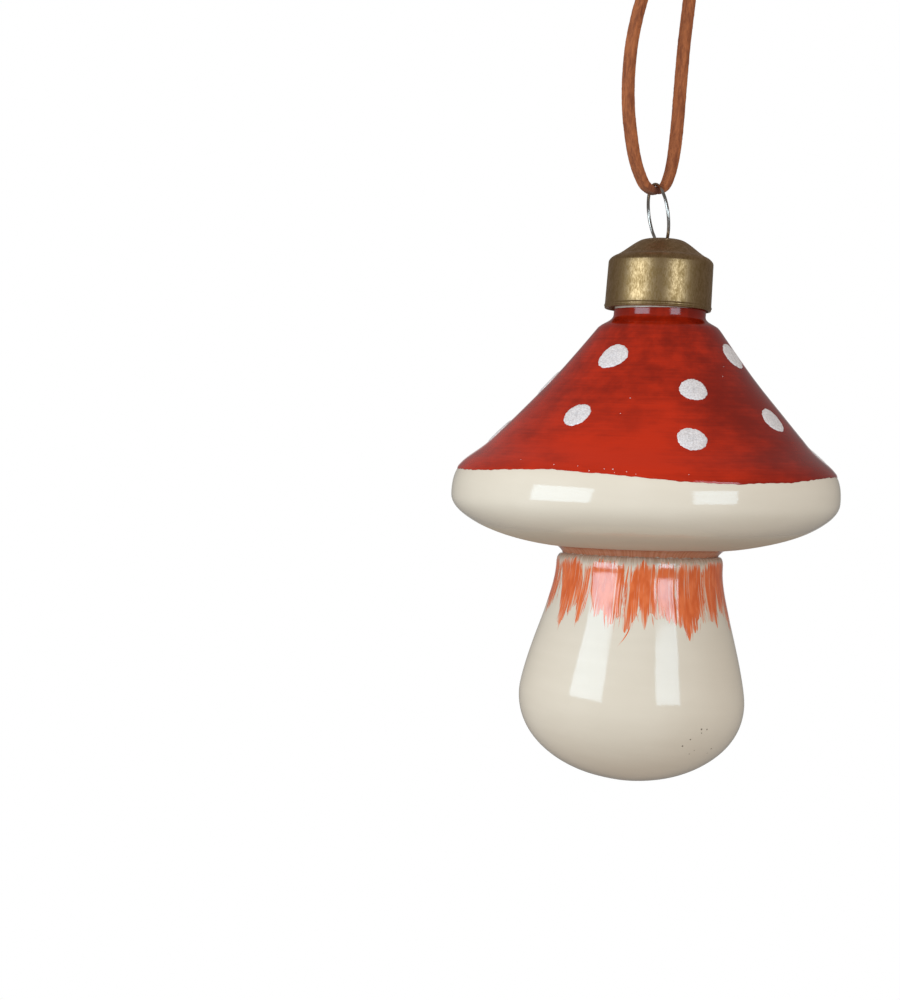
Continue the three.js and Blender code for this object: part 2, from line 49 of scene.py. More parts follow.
# Glass sizes in millimetres: radii from the axis, heights from the bottom of the stem
BULB_RADIUS = 23.4
WAIST_RADIUS = 16.4
BRIM_RADIUS = 39.9
CONE_FOOT_RADIUS = 31.25
CONE_TOP_RADIUS = 12.4
NECK_RADIUS = 9.35
STEM_FLOOR_LEVEL = 0.5
BULB_LEVEL = 17.4
WAIST_LEVEL = 47.2
BRIM_LEVEL = 60.8
WIDEST_LEVEL = 59
CONE_FOOT_LEVEL = 71.6
CONE_TOP_LEVEL = 93.9
NECK_FOOT_LEVEL = 97.3
NECK_ROOT_LEVEL = 96.6
NECK_RIM_LEVEL = 108.05
GLASS_WALL = 1.1
ROUNDING_LEVEL = 38
STEM_TOP = (17.1, 45)
SHOULDER_RADIUS = 15.95
SHOULDER_DROP = 0.08
FILLET_END = (18.4, 48.7)
CONE_BOW = 0.5

# Handles of the curves between these: shares of a stretch, then millimetres
BULB_FLOOR_SHARE = 0.54
BULB_LOW_SHARE = 0.42
STEM_LOW_SHARE = 0.19
STEM_HIGH_SHARE = 0.3
STEM_SPREAD_SHARE = 0.03
LIP_SHARE = 0.565
CONE_FOOT_SHARE = 0.55
ROUNDING_HANDLE = 2.4
STEM_TOP_HANDLE = 1.6
WAIST_EDGE_RADIUS = 16.8
WAIST_EDGE_DROP = 0.1
WAIST_HANDLE = (0.45, 0.6)
FILLET_HANDLE = (1.3, 0.02)
UNDERSIDE_HANDLE = (4.4, 0.12)
WIDEST_HANDLE = 6.1

# The brim sits askew on the stem: lift per unit of distance towards the high side
FRONT_ANGLE = radians(-117)
HIGH_ANGLE = FRONT_ANGLE + pi / 2
HIGH_SIDE = (cos(HIGH_ANGLE), sin(HIGH_ANGLE))
BRIM_SKEW = 0.043
SKEW_STEM_FADE = 18.6
SKEW_NECK_FADE = 8
# Cone and stem lean towards the high side, and the waist rises at the front
CONE_LEAN = 0.5
CONE_LEAN_LEVELS = (62, 78)
STEM_LEAN = 0.3
STEM_LEAN_LEVELS = (30, 46)
WAIST_FRONT_RISE = 0.62
WAIST_RISE_FADE = 20
# The blown wall wavers by this depth. Its waves: share, number in a turn, radians per millimetre of slope
BLOWN_WAVER = 0.07
WAVER_WAVES = [(1, 3, 0.05), (0.6, 5, -0.11), (0.5, 2, 0.35)]

# Paint, in millimetres along the surface or off it
LACQUER_EDGE_ARC = 3.7
LACQUER_EDGE_WAVE = 0.55
LACQUER_NECK_RUN = 1.3
LACQUER_LIFT = 0.12
DOT_FLOOR = LACQUER_LIFT * 0.8
DOT_LIFT = 0.38
STROKE_TOP_LEVEL = 46.4
STROKE_EDGE_LIFT = 0.012
STROKE_LIFT = 0.03
UNDER_FILM = -0.05
# Brush dabs round the stem, in degrees from the front: edges at the top, edges at the bottom,
# level of the notches between the tips, and each tip with its level
DABS = [
    ((-90, -71), (-98, -68), 37, [(-92, 34), (-76, 34.5)]),
    ((-66, -40.5), (-59, -35), 38.4, [(-53, 32.1), (-47, 35), (-38, 33.2)]),
    ((-35, -9), (-29, -9.4), 37.6, [(-25, 36.2), (-16, 33.3), (-10, 35.4)]),
    ((-3.4, 12), (-8.4, 12.8), 37.4, [(-6.6, 33.2), (-3, 34.6), (4.6, 34.2), (11, 35.8)]),
    ((12.4, 25.4), (13.2, 25.6), 37, [(15, 35.6), (19.5, 35.2), (24, 35)]),
    ((26, 46.5), (25.8, 47.5), 36.8, [(27.5, 34.4), (31.8, 33.8), (33.4, 32.4), (38, 33.3), (45.6, 36)]),
    ((48.5, 90), (50, 88), 38, [(53, 35.2), (58, 34.6), (69, 36), (77.8, 33.4), (86, 35)]),
    ((93, 113), (92, 112), 37.6, [(97, 34), (108, 35.2)]),
    ((116, 139), (114, 140), 38, [(119, 35.5), (127, 32.8), (136, 34.6)]),
    ((142, 158), (141, 158), 37, [(145, 34.2), (154, 35.4)]),
    ((161, 186), (162, 184), 38.3, [(166, 34.8), (174, 32.6), (181, 35.6)]),
    ((189, 205), (188, 206), 37.4, [(193, 35.5), (202, 33.9)]),
    ((208, 233), (209, 231), 38, [(212, 33.4), (220, 35.4), (228, 33.8)]),
    ((236, 264), (238, 260), 37.2, [(241, 34.6), (250, 33.2), (257, 35.2)]),
]
# Broader loose marks, in degrees from the front
LOOSE_MARKS = (-72, -69.5, -67.6, -38.6, -37, -35.6, -8.2, -6.4, 47.4, 48.6)
# One stray bristle: degrees from the front, foot, top, width, lean in degrees, thinness of its paint, bow
STRAY_BRISTLE = (-5, 30.1, 35, 0.24, 6.8, 0.1, -5)
# Glitter dots: degrees round the cone from the front, slope distance up from the brim's level, radius
DOT_PLACES = [
    (-30, 35.6, 3.1), (-32.3, 20, 2.9), (19.5, 27.2, 2.8), (14.8, 14.3, 2.95),
    (66.5, 36.6, 3.2), (59.2, 19.7, 3.1), (112, 27.2, 3.1), (95, 9.8, 3.2),
    (158, 35.2, 3), (151, 19.6, 3.1), (199, 27.8, 3.2), (193, 13.2, 3),
    (233, 35.9, 3.1), (227, 20.6, 3), (270, 28.6, 3.2), (272, 14.6, 3.2),
]
# Stray flakes of glitter on the lacquer: degrees from the front, slope distance up, radius
FLAKE_PLACES = [
    (-41.5, 7, 0.1), (-28, 6, 0.13), (-20.2, 5.9, 0.12), (-16.2, 4.8, 0.18), (-12, 5.4, 0.13),
    (-9.5, 5.4, 0.17), (-8.8, 4.6, 0.13), (-5.5, 4.9, 0.15), (-2.8, 4.4, 0.12), (-10.8, 24.7, 0.16),
    (-13.2, 20.6, 0.12), (12, 4.6, 0.1), (41, 31, 0.12), (46, 33.5, 0.1),
]
# Specks on the bulb: degrees round the stem from the front, height, radius
SPECK_PLACES = [
    (38.2, 14.8, 0.25), (41.9, 14.7, 0.22), (38.8, 14, 0.17), (32.9, 12.7, 0.2), (29.5, 11.3, 0.24),
    (52, 10.2, 0.23), (38.5, 10.2, 0.13), (36.4, 9.4, 0.15), (51, 9.2, 0.12),
]

# Metal cap, with radii and heights over its lip
CAP_RADIUS = 10.75
CAP_LIP_RADIUS = 10.95
CAP_SHEET = 0.5
CAP_SIDE_HEIGHT = 9.2
CAP_SHOULDER_HEIGHT = 10
CAP_HEIGHT = 14.4
CAP_DROP = 0.3
CAP_TILT_ACROSS = 0.026
CAP_TILT_FRONT = 0.03

# Hanger wire: sizes of its tall loop over the top of the cap
WIRE_RADIUS = 0.33
LEG_SPACING = 5.2
LEG_ASIDE = -0.33
LOOP_HALF_WIDTH = 4.25
LOOP_WIDEST = 5.1
LOOP_TOP_HEIGHT = 5.75
LOOP_THROAT_DEPTH = 6.55
LOOP_THROAT_WIDTH = 5.9
LOOP_LEAN = radians(12.5)
# Its legs: bend under the cap, heights over the foot of the neck, ends below it
LEG_CLEARANCE = 0.3
LEG_BEND_DEPTH = 1.8
LEG_BEND_IN = 0.1
LEG_SPREAD_HEIGHT = 8
LEG_TOUCH_HEIGHT = 2.7
LEG_END_SPREAD = 1.2
LEG_END_DEPTHS = (4.8, 8)
# Between these heights over the cap the loop is drawn brown: a painted reflection of the suede cord around
# it, and painted shade in the cord's fold
SUEDE_REFLECTION_HEIGHTS = (9.2, 10.2)

# Suede cord from the crook to the knot: half the gap between the strands, height, how far both hang aside
CORD_WIDTH = 3
CORD_THICKNESS = 1.5
CORD_POINTS = [
    (0, -52.05, -2.73), (2.2, -50.6, -2.8), (3.45, -48.2, -3.05), (4.25, -45.7, -3.35), (4.95, -42, -3.7),
    (5.65, -36, -4.2), (5.95, -29, -4.45), (5.85, -21, -4.2), (5.2, -12, -3.1), (4.3, -6, -2),
    (3.2, -1.2, -1), (2, 1.8, -0.3), (1.1, 3.6, 0),
]

base_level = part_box("glass_body")[0].z
cap_lip_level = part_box("metal_cap")[0].z / MM
cap_top_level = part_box("metal_cap")[1].z / MM


# Camera at the photograph's viewing angle
VIEW_ANGLE = radians(-27)
CAMERA_DISTANCE = 0.4
CAMERA_HEIGHT = 0.075
LOOK_LEFT = radians(5.742)
LOOK_DOWN = radians(2.761)
CAMERA_ROLL = radians(3.888)
FOCAL_PIXELS = 1924
PICTURE_HEIGHT = 1000
SENSOR_SIZE = 36
NEAR_CLIP = 0.01


def add_to_scene(name, data):
    made = bpy.data.objects.new(name, data)
    bpy.context.scene.collection.objects.link(made)
    return made


def make_camera():
    towards = Vector((sin(VIEW_ANGLE), -cos(VIEW_ANGLE), 0))
    place = towards * CAMERA_DISTANCE + Vector((0, 0, base_level + CAMERA_HEIGHT))
    data = bpy.data.cameras.new("camera")
    data.sensor_width = SENSOR_SIZE
    data.lens = FOCAL_PIXELS * SENSOR_SIZE / PICTURE_HEIGHT
    data.clip_start = NEAR_CLIP
    camera = add_to_scene("camera", data)
    matrix = Matrix.Translation(place)
    for angle, axis in ((VIEW_ANGLE + LOOK_LEFT, "Z"), (pi / 2 - LOOK_DOWN, "X"), (CAMERA_ROLL, "Z")):
        matrix = matrix @ Matrix.Rotation(angle, 4, axis)
    camera.matrix_world = matrix
    bpy.context.scene.camera = camera


# Meshes
def make_object(name, points, faces, material=None):
    mesh = bpy.data.meshes.new(name)
    mesh.from_pydata(np.asarray(points, float).reshape(-1, 3).tolist(), [], faces, shade_flat=False)
    mesh.update()
    if material:
        mesh.materials.append(material)
    return add_to_scene(name, mesh)


def add_layer(made, name, values):
    """Keep a number or a vector for each point of a mesh, for its material."""
    values = np.asarray(values, np.float32).ravel()
    single = len(values) == len(made.data.vertices)
    layer = made.data.attributes.new(name, "FLOAT" if single else "FLOAT_VECTOR", "POINT")
    layer.data.foreach_set("value" if single else "vector", values)


def grid_faces(rows, columns, close_rows=False):
    """Quads of rings of points that run to the right and follow upwards, seen from outside."""
    faces = []
    for j in range(rows if close_rows else rows - 1):
        low, high = j * columns, (j + 1) % rows * columns
        for i in range(columns):
            beside = (i + 1) % columns
            faces.append((low + i, low + beside, high + beside, high + i))
    return faces


def fan_faces(ring, pole, flip):
    """Triangles from a ring of point numbers to one pole."""
    pairs = zip(ring, [*ring[1:], ring[0]])
    return [(b, a, pole) if flip else (a, b, pole) for a, b in pairs]


def turned_over(faces):
    return [tuple(reversed(face)) for face in faces]


def ease(value, low, high):
    """A smooth rise from 0 to 1."""
    share = np.clip((value - low) / (high - low), 0, 1)
    return share * share * (3 - 2 * share)


def full_turn(count):
    return np.linspace(0, 2 * pi, count, endpoint=False)


def from_front(degrees):
    """Angle round the axis, from degrees to the right of the front."""
    return FRONT_ANGLE + np.radians(degrees)


def beside_axis(degrees, reach, level):
    angle = from_front(degrees)
    return cos(angle) * reach, sin(angle) * reach, level


def lengths_along(points):
    """Distance of each point along a path."""
    return np.hstack([0, np.cumsum(np.linalg.norm(np.diff(points, axis=0), axis=1))])


def directions(points):
    """Unit tangents of a path."""
    tangents = np.gradient(points, axis=0)
    return tangents / np.linalg.norm(tangents, axis=1)[:, None]


def cubic(a, b, c, d, count=120):
    t = np.linspace(0, 1, count)[:, None]
    a, b, c, d = (np.array(p, float) for p in (a, b, c, d))
    return (1 - t) ** 3 * a + 3 * (1 - t) ** 2 * t * b + 3 * (1 - t) * t ** 2 * c + t ** 3 * d


def between(t, t0, t1, p0, p1):
    """Place at a time on the line from one point to the next."""
    return (t1 - t) / (t1 - t0) * p0 + (t - t0) / (t1 - t0) * p1


def smooth_path(points, per_span, count):
    """Centripetal curve through points, as evenly spaced points."""
    points = np.array(points, float)
    points = np.vstack([2 * points[0] - points[1], points, 2 * points[-1] - points[-2]])
    made = []
    for four in zip(points, points[1:], points[2:], points[3:]):
        times = [0]
        for one, following in zip(four, four[1:]):
            times.append(times[-1] + np.linalg.norm(following - one) ** 0.5)
        t = np.linspace(times[1], times[2], per_span, endpoint=False)[:, None]
        a = [between(t, times[i], times[i + 1], four[i], four[i + 1]) for i in range(3)]
        b = [between(t, times[i], times[i + 2], a[i], a[i + 1]) for i in range(2)]
        made.append(between(t, times[1], times[2], *b))
    made = np.vstack([*made, points[-2]])
    steps = lengths_along(made)
    along = np.linspace(0, steps[-1], count)
    return np.column_stack([np.interp(along, steps, line) for line in made.T])


def sweep(path, sides, section):
    """Rings of a section along a path. A section point is (along the side direction, along the other)."""
    tangents = directions(path)
    sides = np.asarray(sides, float)
    sides = sides - tangents * np.sum(sides * tangents, axis=1)[:, None]
    sides /= np.linalg.norm(sides, axis=1)[:, None]
    others = np.cross(tangents, sides)
    return path[:, None] + sides[:, None] * section[..., 0:1] + others[:, None] * section[..., 1:2]


def swept_faces(rings, around):
    faces = grid_faces(rings, around)
    faces.append(tuple(reversed(range(around))))
    faces.append(tuple(range((rings - 1) * around, rings * around)))
    return faces


def strip_section(width, thickness, sides, power=5):
    """A flat strip with rounded edges."""
    turn = full_turn(sides)
    c, s = np.cos(turn), np.sin(turn)
    return np.column_stack([
        width / 2 * np.sign(c) * np.abs(c) ** (2 / power),
        thickness / 2 * np.sign(s) * np.abs(s) ** (2 / power),
    ])


def round_section(radius, sides):
    return strip_section(2 * radius, 2 * radius, sides, power=2)


# Surface of the glass
def glass_outline():
    """Outline from the bottom to the rim: points, slope distances, and those where the stretches end."""
    stem = WAIST_LEVEL - BULB_LEVEL
    bulb_side = (BULB_RADIUS, BULB_LEVEL)
    bulb = cubic(
        (0, STEM_FLOOR_LEVEL), (BULB_FLOOR_SHARE * BULB_RADIUS, STEM_FLOOR_LEVEL),
        (BULB_RADIUS, BULB_LOW_SHARE * BULB_LEVEL), bulb_side,
    )
    side = cubic(
        bulb_side, (BULB_RADIUS, BULB_LEVEL + STEM_LOW_SHARE * stem),
        (WAIST_RADIUS + STEM_SPREAD_SHARE * stem, WAIST_LEVEL - STEM_HIGH_SHARE * stem),
        (WAIST_RADIUS, WAIST_LEVEL),
    )
    side = side[side[:, 1] < ROUNDING_LEVEL]
    along_side = (side[-1] - side[-2]) / np.linalg.norm(side[-1] - side[-2])
    rounding = side[-1] + ROUNDING_HANDLE * along_side
    stem_top = np.array(STEM_TOP)
    waist_edge = (WAIST_EDGE_RADIUS, WAIST_LEVEL - WAIST_EDGE_DROP)
    waist = (SHOULDER_RADIUS, WAIST_LEVEL - SHOULDER_DROP)
    over_waist = np.array([SHOULDER_RADIUS, WAIST_LEVEL]) + WAIST_HANDLE
    under = np.array(FILLET_END)
    widest = np.array([BRIM_RADIUS, WIDEST_LEVEL])
    lip = (BRIM_RADIUS, BRIM_LEVEL + LIP_SHARE * (CONE_FOOT_LEVEL - BRIM_LEVEL))
    foot = np.array([CONE_FOOT_RADIUS, CONE_FOOT_LEVEL])
    top = np.array([CONE_TOP_RADIUS, CONE_TOP_LEVEL])
    root = np.array([NECK_RADIUS, NECK_ROOT_LEVEL])
    cone = top - foot
    slope = cone / np.linalg.norm(cone)
    under_foot = foot - slope * (np.linalg.norm(foot - (BRIM_RADIUS, BRIM_LEVEL)) * CONE_FOOT_SHARE)
    # Both handles move by 4/3 of the bow, so that the middle of the curve moves by the bow
    drawn_in = np.array([-slope[1], slope[0]]) * CONE_BOW * 4 / 3
    fillet = (NECK_ROOT_LEVEL - CONE_TOP_LEVEL) / 2
    stretches = {
        "bulb": bulb,
        "side": side,
        "stem_top": cubic(side[-1], rounding, stem_top - (0, ROUNDING_HANDLE), stem_top, 40),
        "waist": cubic(stem_top, stem_top + (0, STEM_TOP_HANDLE), waist_edge, waist, 24),
        "fillet": cubic(waist, over_waist, under - FILLET_HANDLE, under, 24),
        "brim": cubic(under, under + UNDERSIDE_HANDLE, widest - (0, WIDEST_HANDLE), widest),
        "cone_foot": cubic(widest, lip, under_foot, foot),
        "cone_top": cubic(foot, foot + cone / 3 + drawn_in, foot + cone * 2 / 3 + drawn_in, top),
        "neck_root": cubic(top, top + slope * fillet, root - (0, fillet), root),
        "rim": np.array([root, (NECK_RADIUS, NECK_RIM_LEVEL)]),
    }
    points = np.vstack([bulb[:1]] + [stretch[1:] for stretch in stretches.values()])
    arcs = lengths_along(points)
    ends = np.cumsum([len(stretch) - 1 for stretch in stretches.values()])
    return points, arcs, dict(zip(stretches, arcs[ends]))


outline, outline_arcs, end_arcs = glass_outline()
stem_top_arc = end_arcs["stem_top"]
waist_arc = end_arcs["waist"]
fillet_arc = end_arcs["fillet"]
brim_arc = end_arcs["brim"] + (BRIM_LEVEL - WIDEST_LEVEL)
neck_root_arc = end_arcs["neck_root"]
rim_arc = end_arcs["rim"]
slopes = np.gradient(outline, outline_arcs, axis=0)
slopes /= np.linalg.norm(slopes, axis=1)[:, None]


def stem_arc(level):
    """Slope distance at which the stem has this height."""
    on_stem = outline_arcs <= waist_arc
    return np.interp(level, outline[on_stem, 1], outline_arcs[on_stem])


def glass_radius(arcs):
    return np.interp(arcs, outline_arcs, outline[:, 0])


def over_glass(arcs, angles, lift):
    """Points over the glass in metres: slope distance, angle round the axis, distance off the surface."""
    arcs, angles, lift = np.broadcast_arrays(np.asarray(arcs, float), angles, lift)
    radius = glass_radius(arcs)
    level = np.interp(arcs, outline_arcs, outline[:, 1])
    out_r = np.interp(arcs, outline_arcs, slopes[:, 1])
    out_z = -np.interp(arcs, outline_arcs, slopes[:, 0])
    inner_neck = (lift < -GLASS_WALL / 2) * ease(level, CONE_TOP_LEVEL, NECK_ROOT_LEVEL)
    fullness = np.clip(radius / BULB_RADIUS, 0, 1)
    waver = sum(share * np.sin(waves * angles + twist * arcs) for share, waves, twist in WAVER_WAVES)
    lift = lift + BLOWN_WAVER * waver * fullness
    x = (radius + out_r * lift) * np.cos(angles)
    y = (radius + out_r * lift) * np.sin(angles)
    across = x * HIGH_SIDE[0] + y * HIGH_SIDE[1]
    fade_in = ease(level, WAIST_LEVEL - SKEW_STEM_FADE, WAIST_LEVEL)
    fade_out = ease(level, CONE_TOP_LEVEL, CONE_TOP_LEVEL + SKEW_NECK_FADE)
    z = level + out_z * lift + BRIM_SKEW * across * fade_in * (1 - fade_out)
    rise = ease(arcs, stem_top_arc, waist_arc)
    rise = rise * (1 - ease(arcs, fillet_arc, fillet_arc + WAIST_RISE_FADE))
    z = z + WAIST_FRONT_RISE * rise * (0.5 + 0.5 * np.cos(angles - FRONT_ANGLE)) ** 2
    lean = CONE_LEAN * ease(level, *CONE_LEAN_LEVELS) * (1 - inner_neck)
    lean = lean + STEM_LEAN * (1 - ease(level, *STEM_LEAN_LEVELS))
    x = x + lean * HIGH_SIDE[0]
    y = y + lean * HIGH_SIDE[1]
    return np.stack([x * MM, y * MM, z * MM + base_level], axis=-1)


def lay_vectors(arcs, angles):
    """Seamless coordinates for paint: a turn on a unit circle, and the slope distance in millimetres."""
    arcs, angles = np.broadcast_arrays(arcs, angles)
    return np.stack([np.cos(angles), np.sin(angles), arcs], axis=-1)


# Materials, with their colours: most are two tones that noise mixes
CREAM = (0.735, 0.65, 0.54), (0.69, 0.605, 0.495)
# Darker cream for the underside: painted shade under the brim
PAINTED_UNDERSIDE_SHADE = (0.6, 0.53, 0.43)
# Brownish grey for the stem's rim under the brim: painted shade, with streaks of paint residue
RIM_SHADE_AND_RESIDUE = (0.42, 0.285, 0.195)
# Lacquer from its darkest to its lightest tone; painted light and shade choose between them
LACQUER = (0.195, 0.009, 0.0025), (0.485, 0.0225, 0.004)
LACQUER_LINE = (0.16, 0.007, 0.003)
ORANGE = (0.68, 0.118, 0.025), (0.79, 0.17, 0.047)
ORANGE_BARE = (0.72, 0.5, 0.375)
COLLAR = (0.5, 0.18, 0.09), (0.6, 0.27, 0.165)
GLITTER = (0.71, 0.665, 0.67), (0.87, 0.815, 0.81)
BRASS = (0.29, 0.168, 0.064), (0.45, 0.28, 0.138)
# Lighter brass for the cap's crown: painted light on its top
CROWN_PAINTED_LIGHT = (0.37, 0.212, 0.083), (0.55, 0.345, 0.172)
STEEL = (0.4, 0.345, 0.3), (0.56, 0.5, 0.45)
# Brown for the top of the loop in the cord: a painted reflection of the suede, and painted shade in its fold
STEEL_SUEDE_REFLECTION = (0.46, 0.28, 0.16)
SUEDE = (0.2, 0.05, 0.015), (0.42, 0.127, 0.04)
# Darker suede for the crook: painted shade in the fold
SUEDE_CROOK_SHADE = (0.09, 0.022, 0.011)
SUEDE_SHEEN = (0.9, 0.5, 0.3)
SPECK = (0.15, 0.11, 0.065), (0.24, 0.19, 0.125)
GLASS_IOR = 1.5
CROWN_FADE = 0.0006


class Nodes:
    """A node tree, with short ways of adding to it."""

    def __init__(self, tree):
        self.tree = tree

    def feed(self, socket, value):
        if isinstance(value, bpy.types.NodeSocket):
            self.tree.links.new(value, socket)
        elif isinstance(value, tuple) and len(value) == 3 and len(socket.default_value) == 4:
            socket.default_value = (*value, 1)
        else:
            socket.default_value = value

    def node(self, kind, output=0, inputs=None, **settings):
        made = self.tree.nodes.new("ShaderNode" + kind)
        for key, value in settings.items():
            setattr(made, key, value)
        for key, value in (inputs or {}).items():
            self.feed(made.inputs[key], value)
        return made.outputs[output]

    def ramp(self, value, low, high, out_low=0, out_high=1, kind="SMOOTHSTEP"):
        inputs = dict(enumerate((value, low, high, out_low, out_high)))
        return self.node("MapRange", 0, inputs, interpolation_type=kind)

    def math(self, operation, a, b):
        return self.node("Math", 0, {0: a, 1: b}, operation=operation)

    def weigh(self, a, a_weight, b, b_weight):
        """Sum of two values, each with its weight."""
        return self.math("ADD", self.math("MULTIPLY", a, a_weight), self.math("MULTIPLY", b, b_weight))

    def vector(self, operation, a, b=(0, 0, 0), output=0):
        return self.node("VectorMath", output, {0: a, 1: b}, operation=operation)

    def mix(self, factor, a, b):
        return self.node("Mix", 2, {0: factor, 6: a, 7: b}, data_type="RGBA")


class Shader(Nodes):
    """A material with one principled surface."""

    def __init__(self, name, **settings):
        self.material = bpy.data.materials.new(name)
        self.material.use_nodes = True
        super().__init__(self.material.node_tree)
        self.surface = self.tree.nodes["Principled BSDF"]
        for key, value in settings.items():
            self.set(key.replace("_", " "), value)

    def set(self, name, value):
        self.feed(self.surface.inputs[name], value)

    def attribute(self, name, output="Fac"):
        return self.node("Attribute", output, attribute_name=name)

    def place(self):
        return self.node("TexCoord", "Object")

    def noise(self, vector, scale, detail=3, roughness=0.5):
        return self.node("TexNoise", "Fac", {
            "Vector": vector, "Scale": scale, "Detail": detail, "Roughness": roughness,
        })

    def streaks(self, vector, across, along, detail=3, roughness=0.5):
        """Noise with its own fineness in the first two directions and along the third."""
        return self.noise(self.vector("MULTIPLY", vector, (across, across, along)), 1, detail, roughness)

    def bump(self, height, strength, distance):
        return self.node("Bump", 0, {"Height": height, "Strength": strength, "Distance": distance})


def cream_glass():
    look = Shader("cream_glass", IOR=GLASS_IOR, Specular_IOR_Level=0.38)
    place = look.place()
    cloud = look.noise(place, 45)
    tone = look.weigh(cloud, 0.7, look.streaks(place, 60, 420, 4), 0.3)
    under = look.ramp(look.attribute("under"), 0, 1)
    body = look.mix(look.ramp(tone, 0.3, 0.7), *CREAM)
    # The underside is mixed towards a darker cream: painted shade under the brim
    body = look.mix(under, body, PAINTED_UNDERSIDE_SHADE)
    # The stem's top rim under the brim is darkened in streaks: painted shade in the brim's shadow, with paint
    # residue
    runs = look.streaks(look.attribute("lay", "Vector"), 70, 0.3)
    rim_shade_and_residue_streaks = look.math("MULTIPLY", look.attribute("rim_shade_and_residue_mask"), look.ramp(runs, 0.25, 0.65, 0.35, 1))
    look.set("Base Color", look.mix(rim_shade_and_residue_streaks, body, RIM_SHADE_AND_RESIDUE))
    look.set("Roughness", look.ramp(under, 0, 1, 0.09, 0.7))
    look.set("Normal", look.bump(cloud, 0.15, 0.0004))
    return look.material


def red_lacquer():
    look = Shader("red_lacquer", Roughness=0.12, IOR=GLASS_IOR, Specular_IOR_Level=0.36)
    lay = look.attribute("lay", "Vector")
    brushed = look.streaks(lay, 1.8, 2.6, 4, 0.55)
    patches = look.streaks(lay, 3, 0.16)
    thread = look.streaks(lay, 2.5, 7, 2)
    mottled = look.streaks(lay, 6.5, 0.42, 4, 0.6)
    uneven = look.weigh(brushed, 0.25, look.weigh(patches, 0.4, mottled, 0.4), 1)
    # The wash layer carries painted light and shade over the cone; noise adds uneven brushing
    depth = look.math("ADD", look.attribute("wash"), look.ramp(uneven, 0.34, 0.74, -0.27, 0.26))
    body = look.mix(look.ramp(depth, 0, 1), *LACQUER)
    look.set("Base Color", look.mix(look.ramp(thread, 0.62, 0.8, 0, 0.17), body, LACQUER_LINE))
    look.set("Normal", look.bump(brushed, 0.12, 0.00015))
    return look.material


def orange_paint():
    look = Shader("orange_paint", Roughness=0.12, IOR=GLASS_IOR, Specular_IOR_Level=0.68)
    lay = look.attribute("lay", "Vector")
    bristles = look.streaks(lay, 62, 0.1, 3, 0.6)
    wash = look.streaks(lay, 14, 0.3, 2)
    deep = look.mix(look.ramp(wash, 0.35, 0.65), *ORANGE)
    bare = look.weigh(look.attribute("thin"), 0.3, bristles, 1)
    strokes = look.mix(look.ramp(bare, 0.56, 0.74), deep, ORANGE_BARE)
    collar = look.mix(look.ramp(bristles, 0.35, 0.65), *COLLAR)
    look.set("Base Color", look.mix(look.attribute("wash"), strokes, collar))
    look.set("Normal", look.bump(bristles, 0.06, 0.00005))
    return look.material


def glitter_paint():
    look = Shader("glitter_paint", Roughness=0.45, Metallic=0.15)
    place = look.place()
    shade = look.noise(place, 3000, 1)
    look.set("Base Color", look.mix(look.ramp(shade, 0.35, 0.68), *GLITTER))
    flakes = look.node("TexVoronoi", "Color", {"Vector": place, "Scale": 4200})
    tilt = look.vector("SUBTRACT", flakes, (0.5, 0.5, 0.5))
    tilt = look.vector("MULTIPLY", tilt, (0.5, 0.5, 0.5))
    leaning = look.vector("ADD", look.node("NewGeometry", "Normal"), tilt)
    look.set("Normal", look.vector("NORMALIZE", leaning))
    return look.material


def antique_brass():
    look = Shader("antique_brass", Metallic=1, Anisotropic=0.3)
    place = look.place()
    brushing = look.streaks(place, 3800, 1300, 4, 0.6)
    wear_and_painted_shade = look.weigh(brushing, 0.5, look.streaks(place, 900, 600, 4, 0.65), 0.5)
    wear_and_painted_reflection = look.ramp(wear_and_painted_shade, 0.38, 0.62)
    side = look.mix(wear_and_painted_reflection, *BRASS)
    # The crown above the shoulder takes lighter tones: painted light on the top of the cap
    crown = look.mix(wear_and_painted_reflection, *CROWN_PAINTED_LIGHT)
    level = look.node("SeparateXYZ", "Z", {0: place})
    shoulder = (cap_lip_level + CAP_SHOULDER_HEIGHT) * MM
    upper = look.ramp(level, shoulder - CROWN_FADE, shoulder + CROWN_FADE)
    look.set("Base Color", look.mix(upper, side, crown))
    look.set("Roughness", look.ramp(wear_and_painted_shade, 0.35, 0.65, 0.46, 0.33))
    look.set("Normal", look.bump(brushing, 0.14, 0.00005))
    return look.material


def spring_steel():
    look = Shader("spring_steel", Metallic=1)
    drawn = look.noise(look.place(), 900)
    bright = look.mix(look.ramp(drawn, 0.3, 0.7), *STEEL)
    # Brown near the top of the loop: a painted reflection of the suede cord, and painted shade in its fold
    look.set("Base Color", look.mix(look.attribute("wear_and_painted_reflection"), bright, STEEL_SUEDE_REFLECTION))
    look.set("Roughness", look.ramp(drawn, 0.3, 0.7, 0.16, 0.26))
    return look.material


def suede():
    look = Shader("suede", Roughness=0.95, Sheen_Weight=0.2, Sheen_Roughness=0.5, Sheen_Tint=SUEDE_SHEEN)
    place = look.place()
    nap = look.streaks(place, 2200, 700, 4, 0.6)
    tone = look.weigh(nap, 0.5, look.streaks(place, 700, 160), 0.5)
    colour = look.mix(look.ramp(tone, 0.34, 0.66), *SUEDE)
    # The suede darkens at the crook: painted shade in the fold over the wire
    wear_and_painted_shade = look.math("MULTIPLY", look.attribute("crook"), 0.9)
    look.set("Base Color", look.mix(wear_and_painted_shade, colour, SUEDE_CROOK_SHADE))
    look.set("Normal", look.bump(nap, 0.7, 0.00025))
    return look.material


def speck_paint():
    look = Shader("speck_paint", Roughness=0.5)
    grain = look.noise(look.place(), 5000, 2)
    look.set("Base Color", look.mix(look.ramp(grain, 0.35, 0.65), *SPECK))
    return look.material


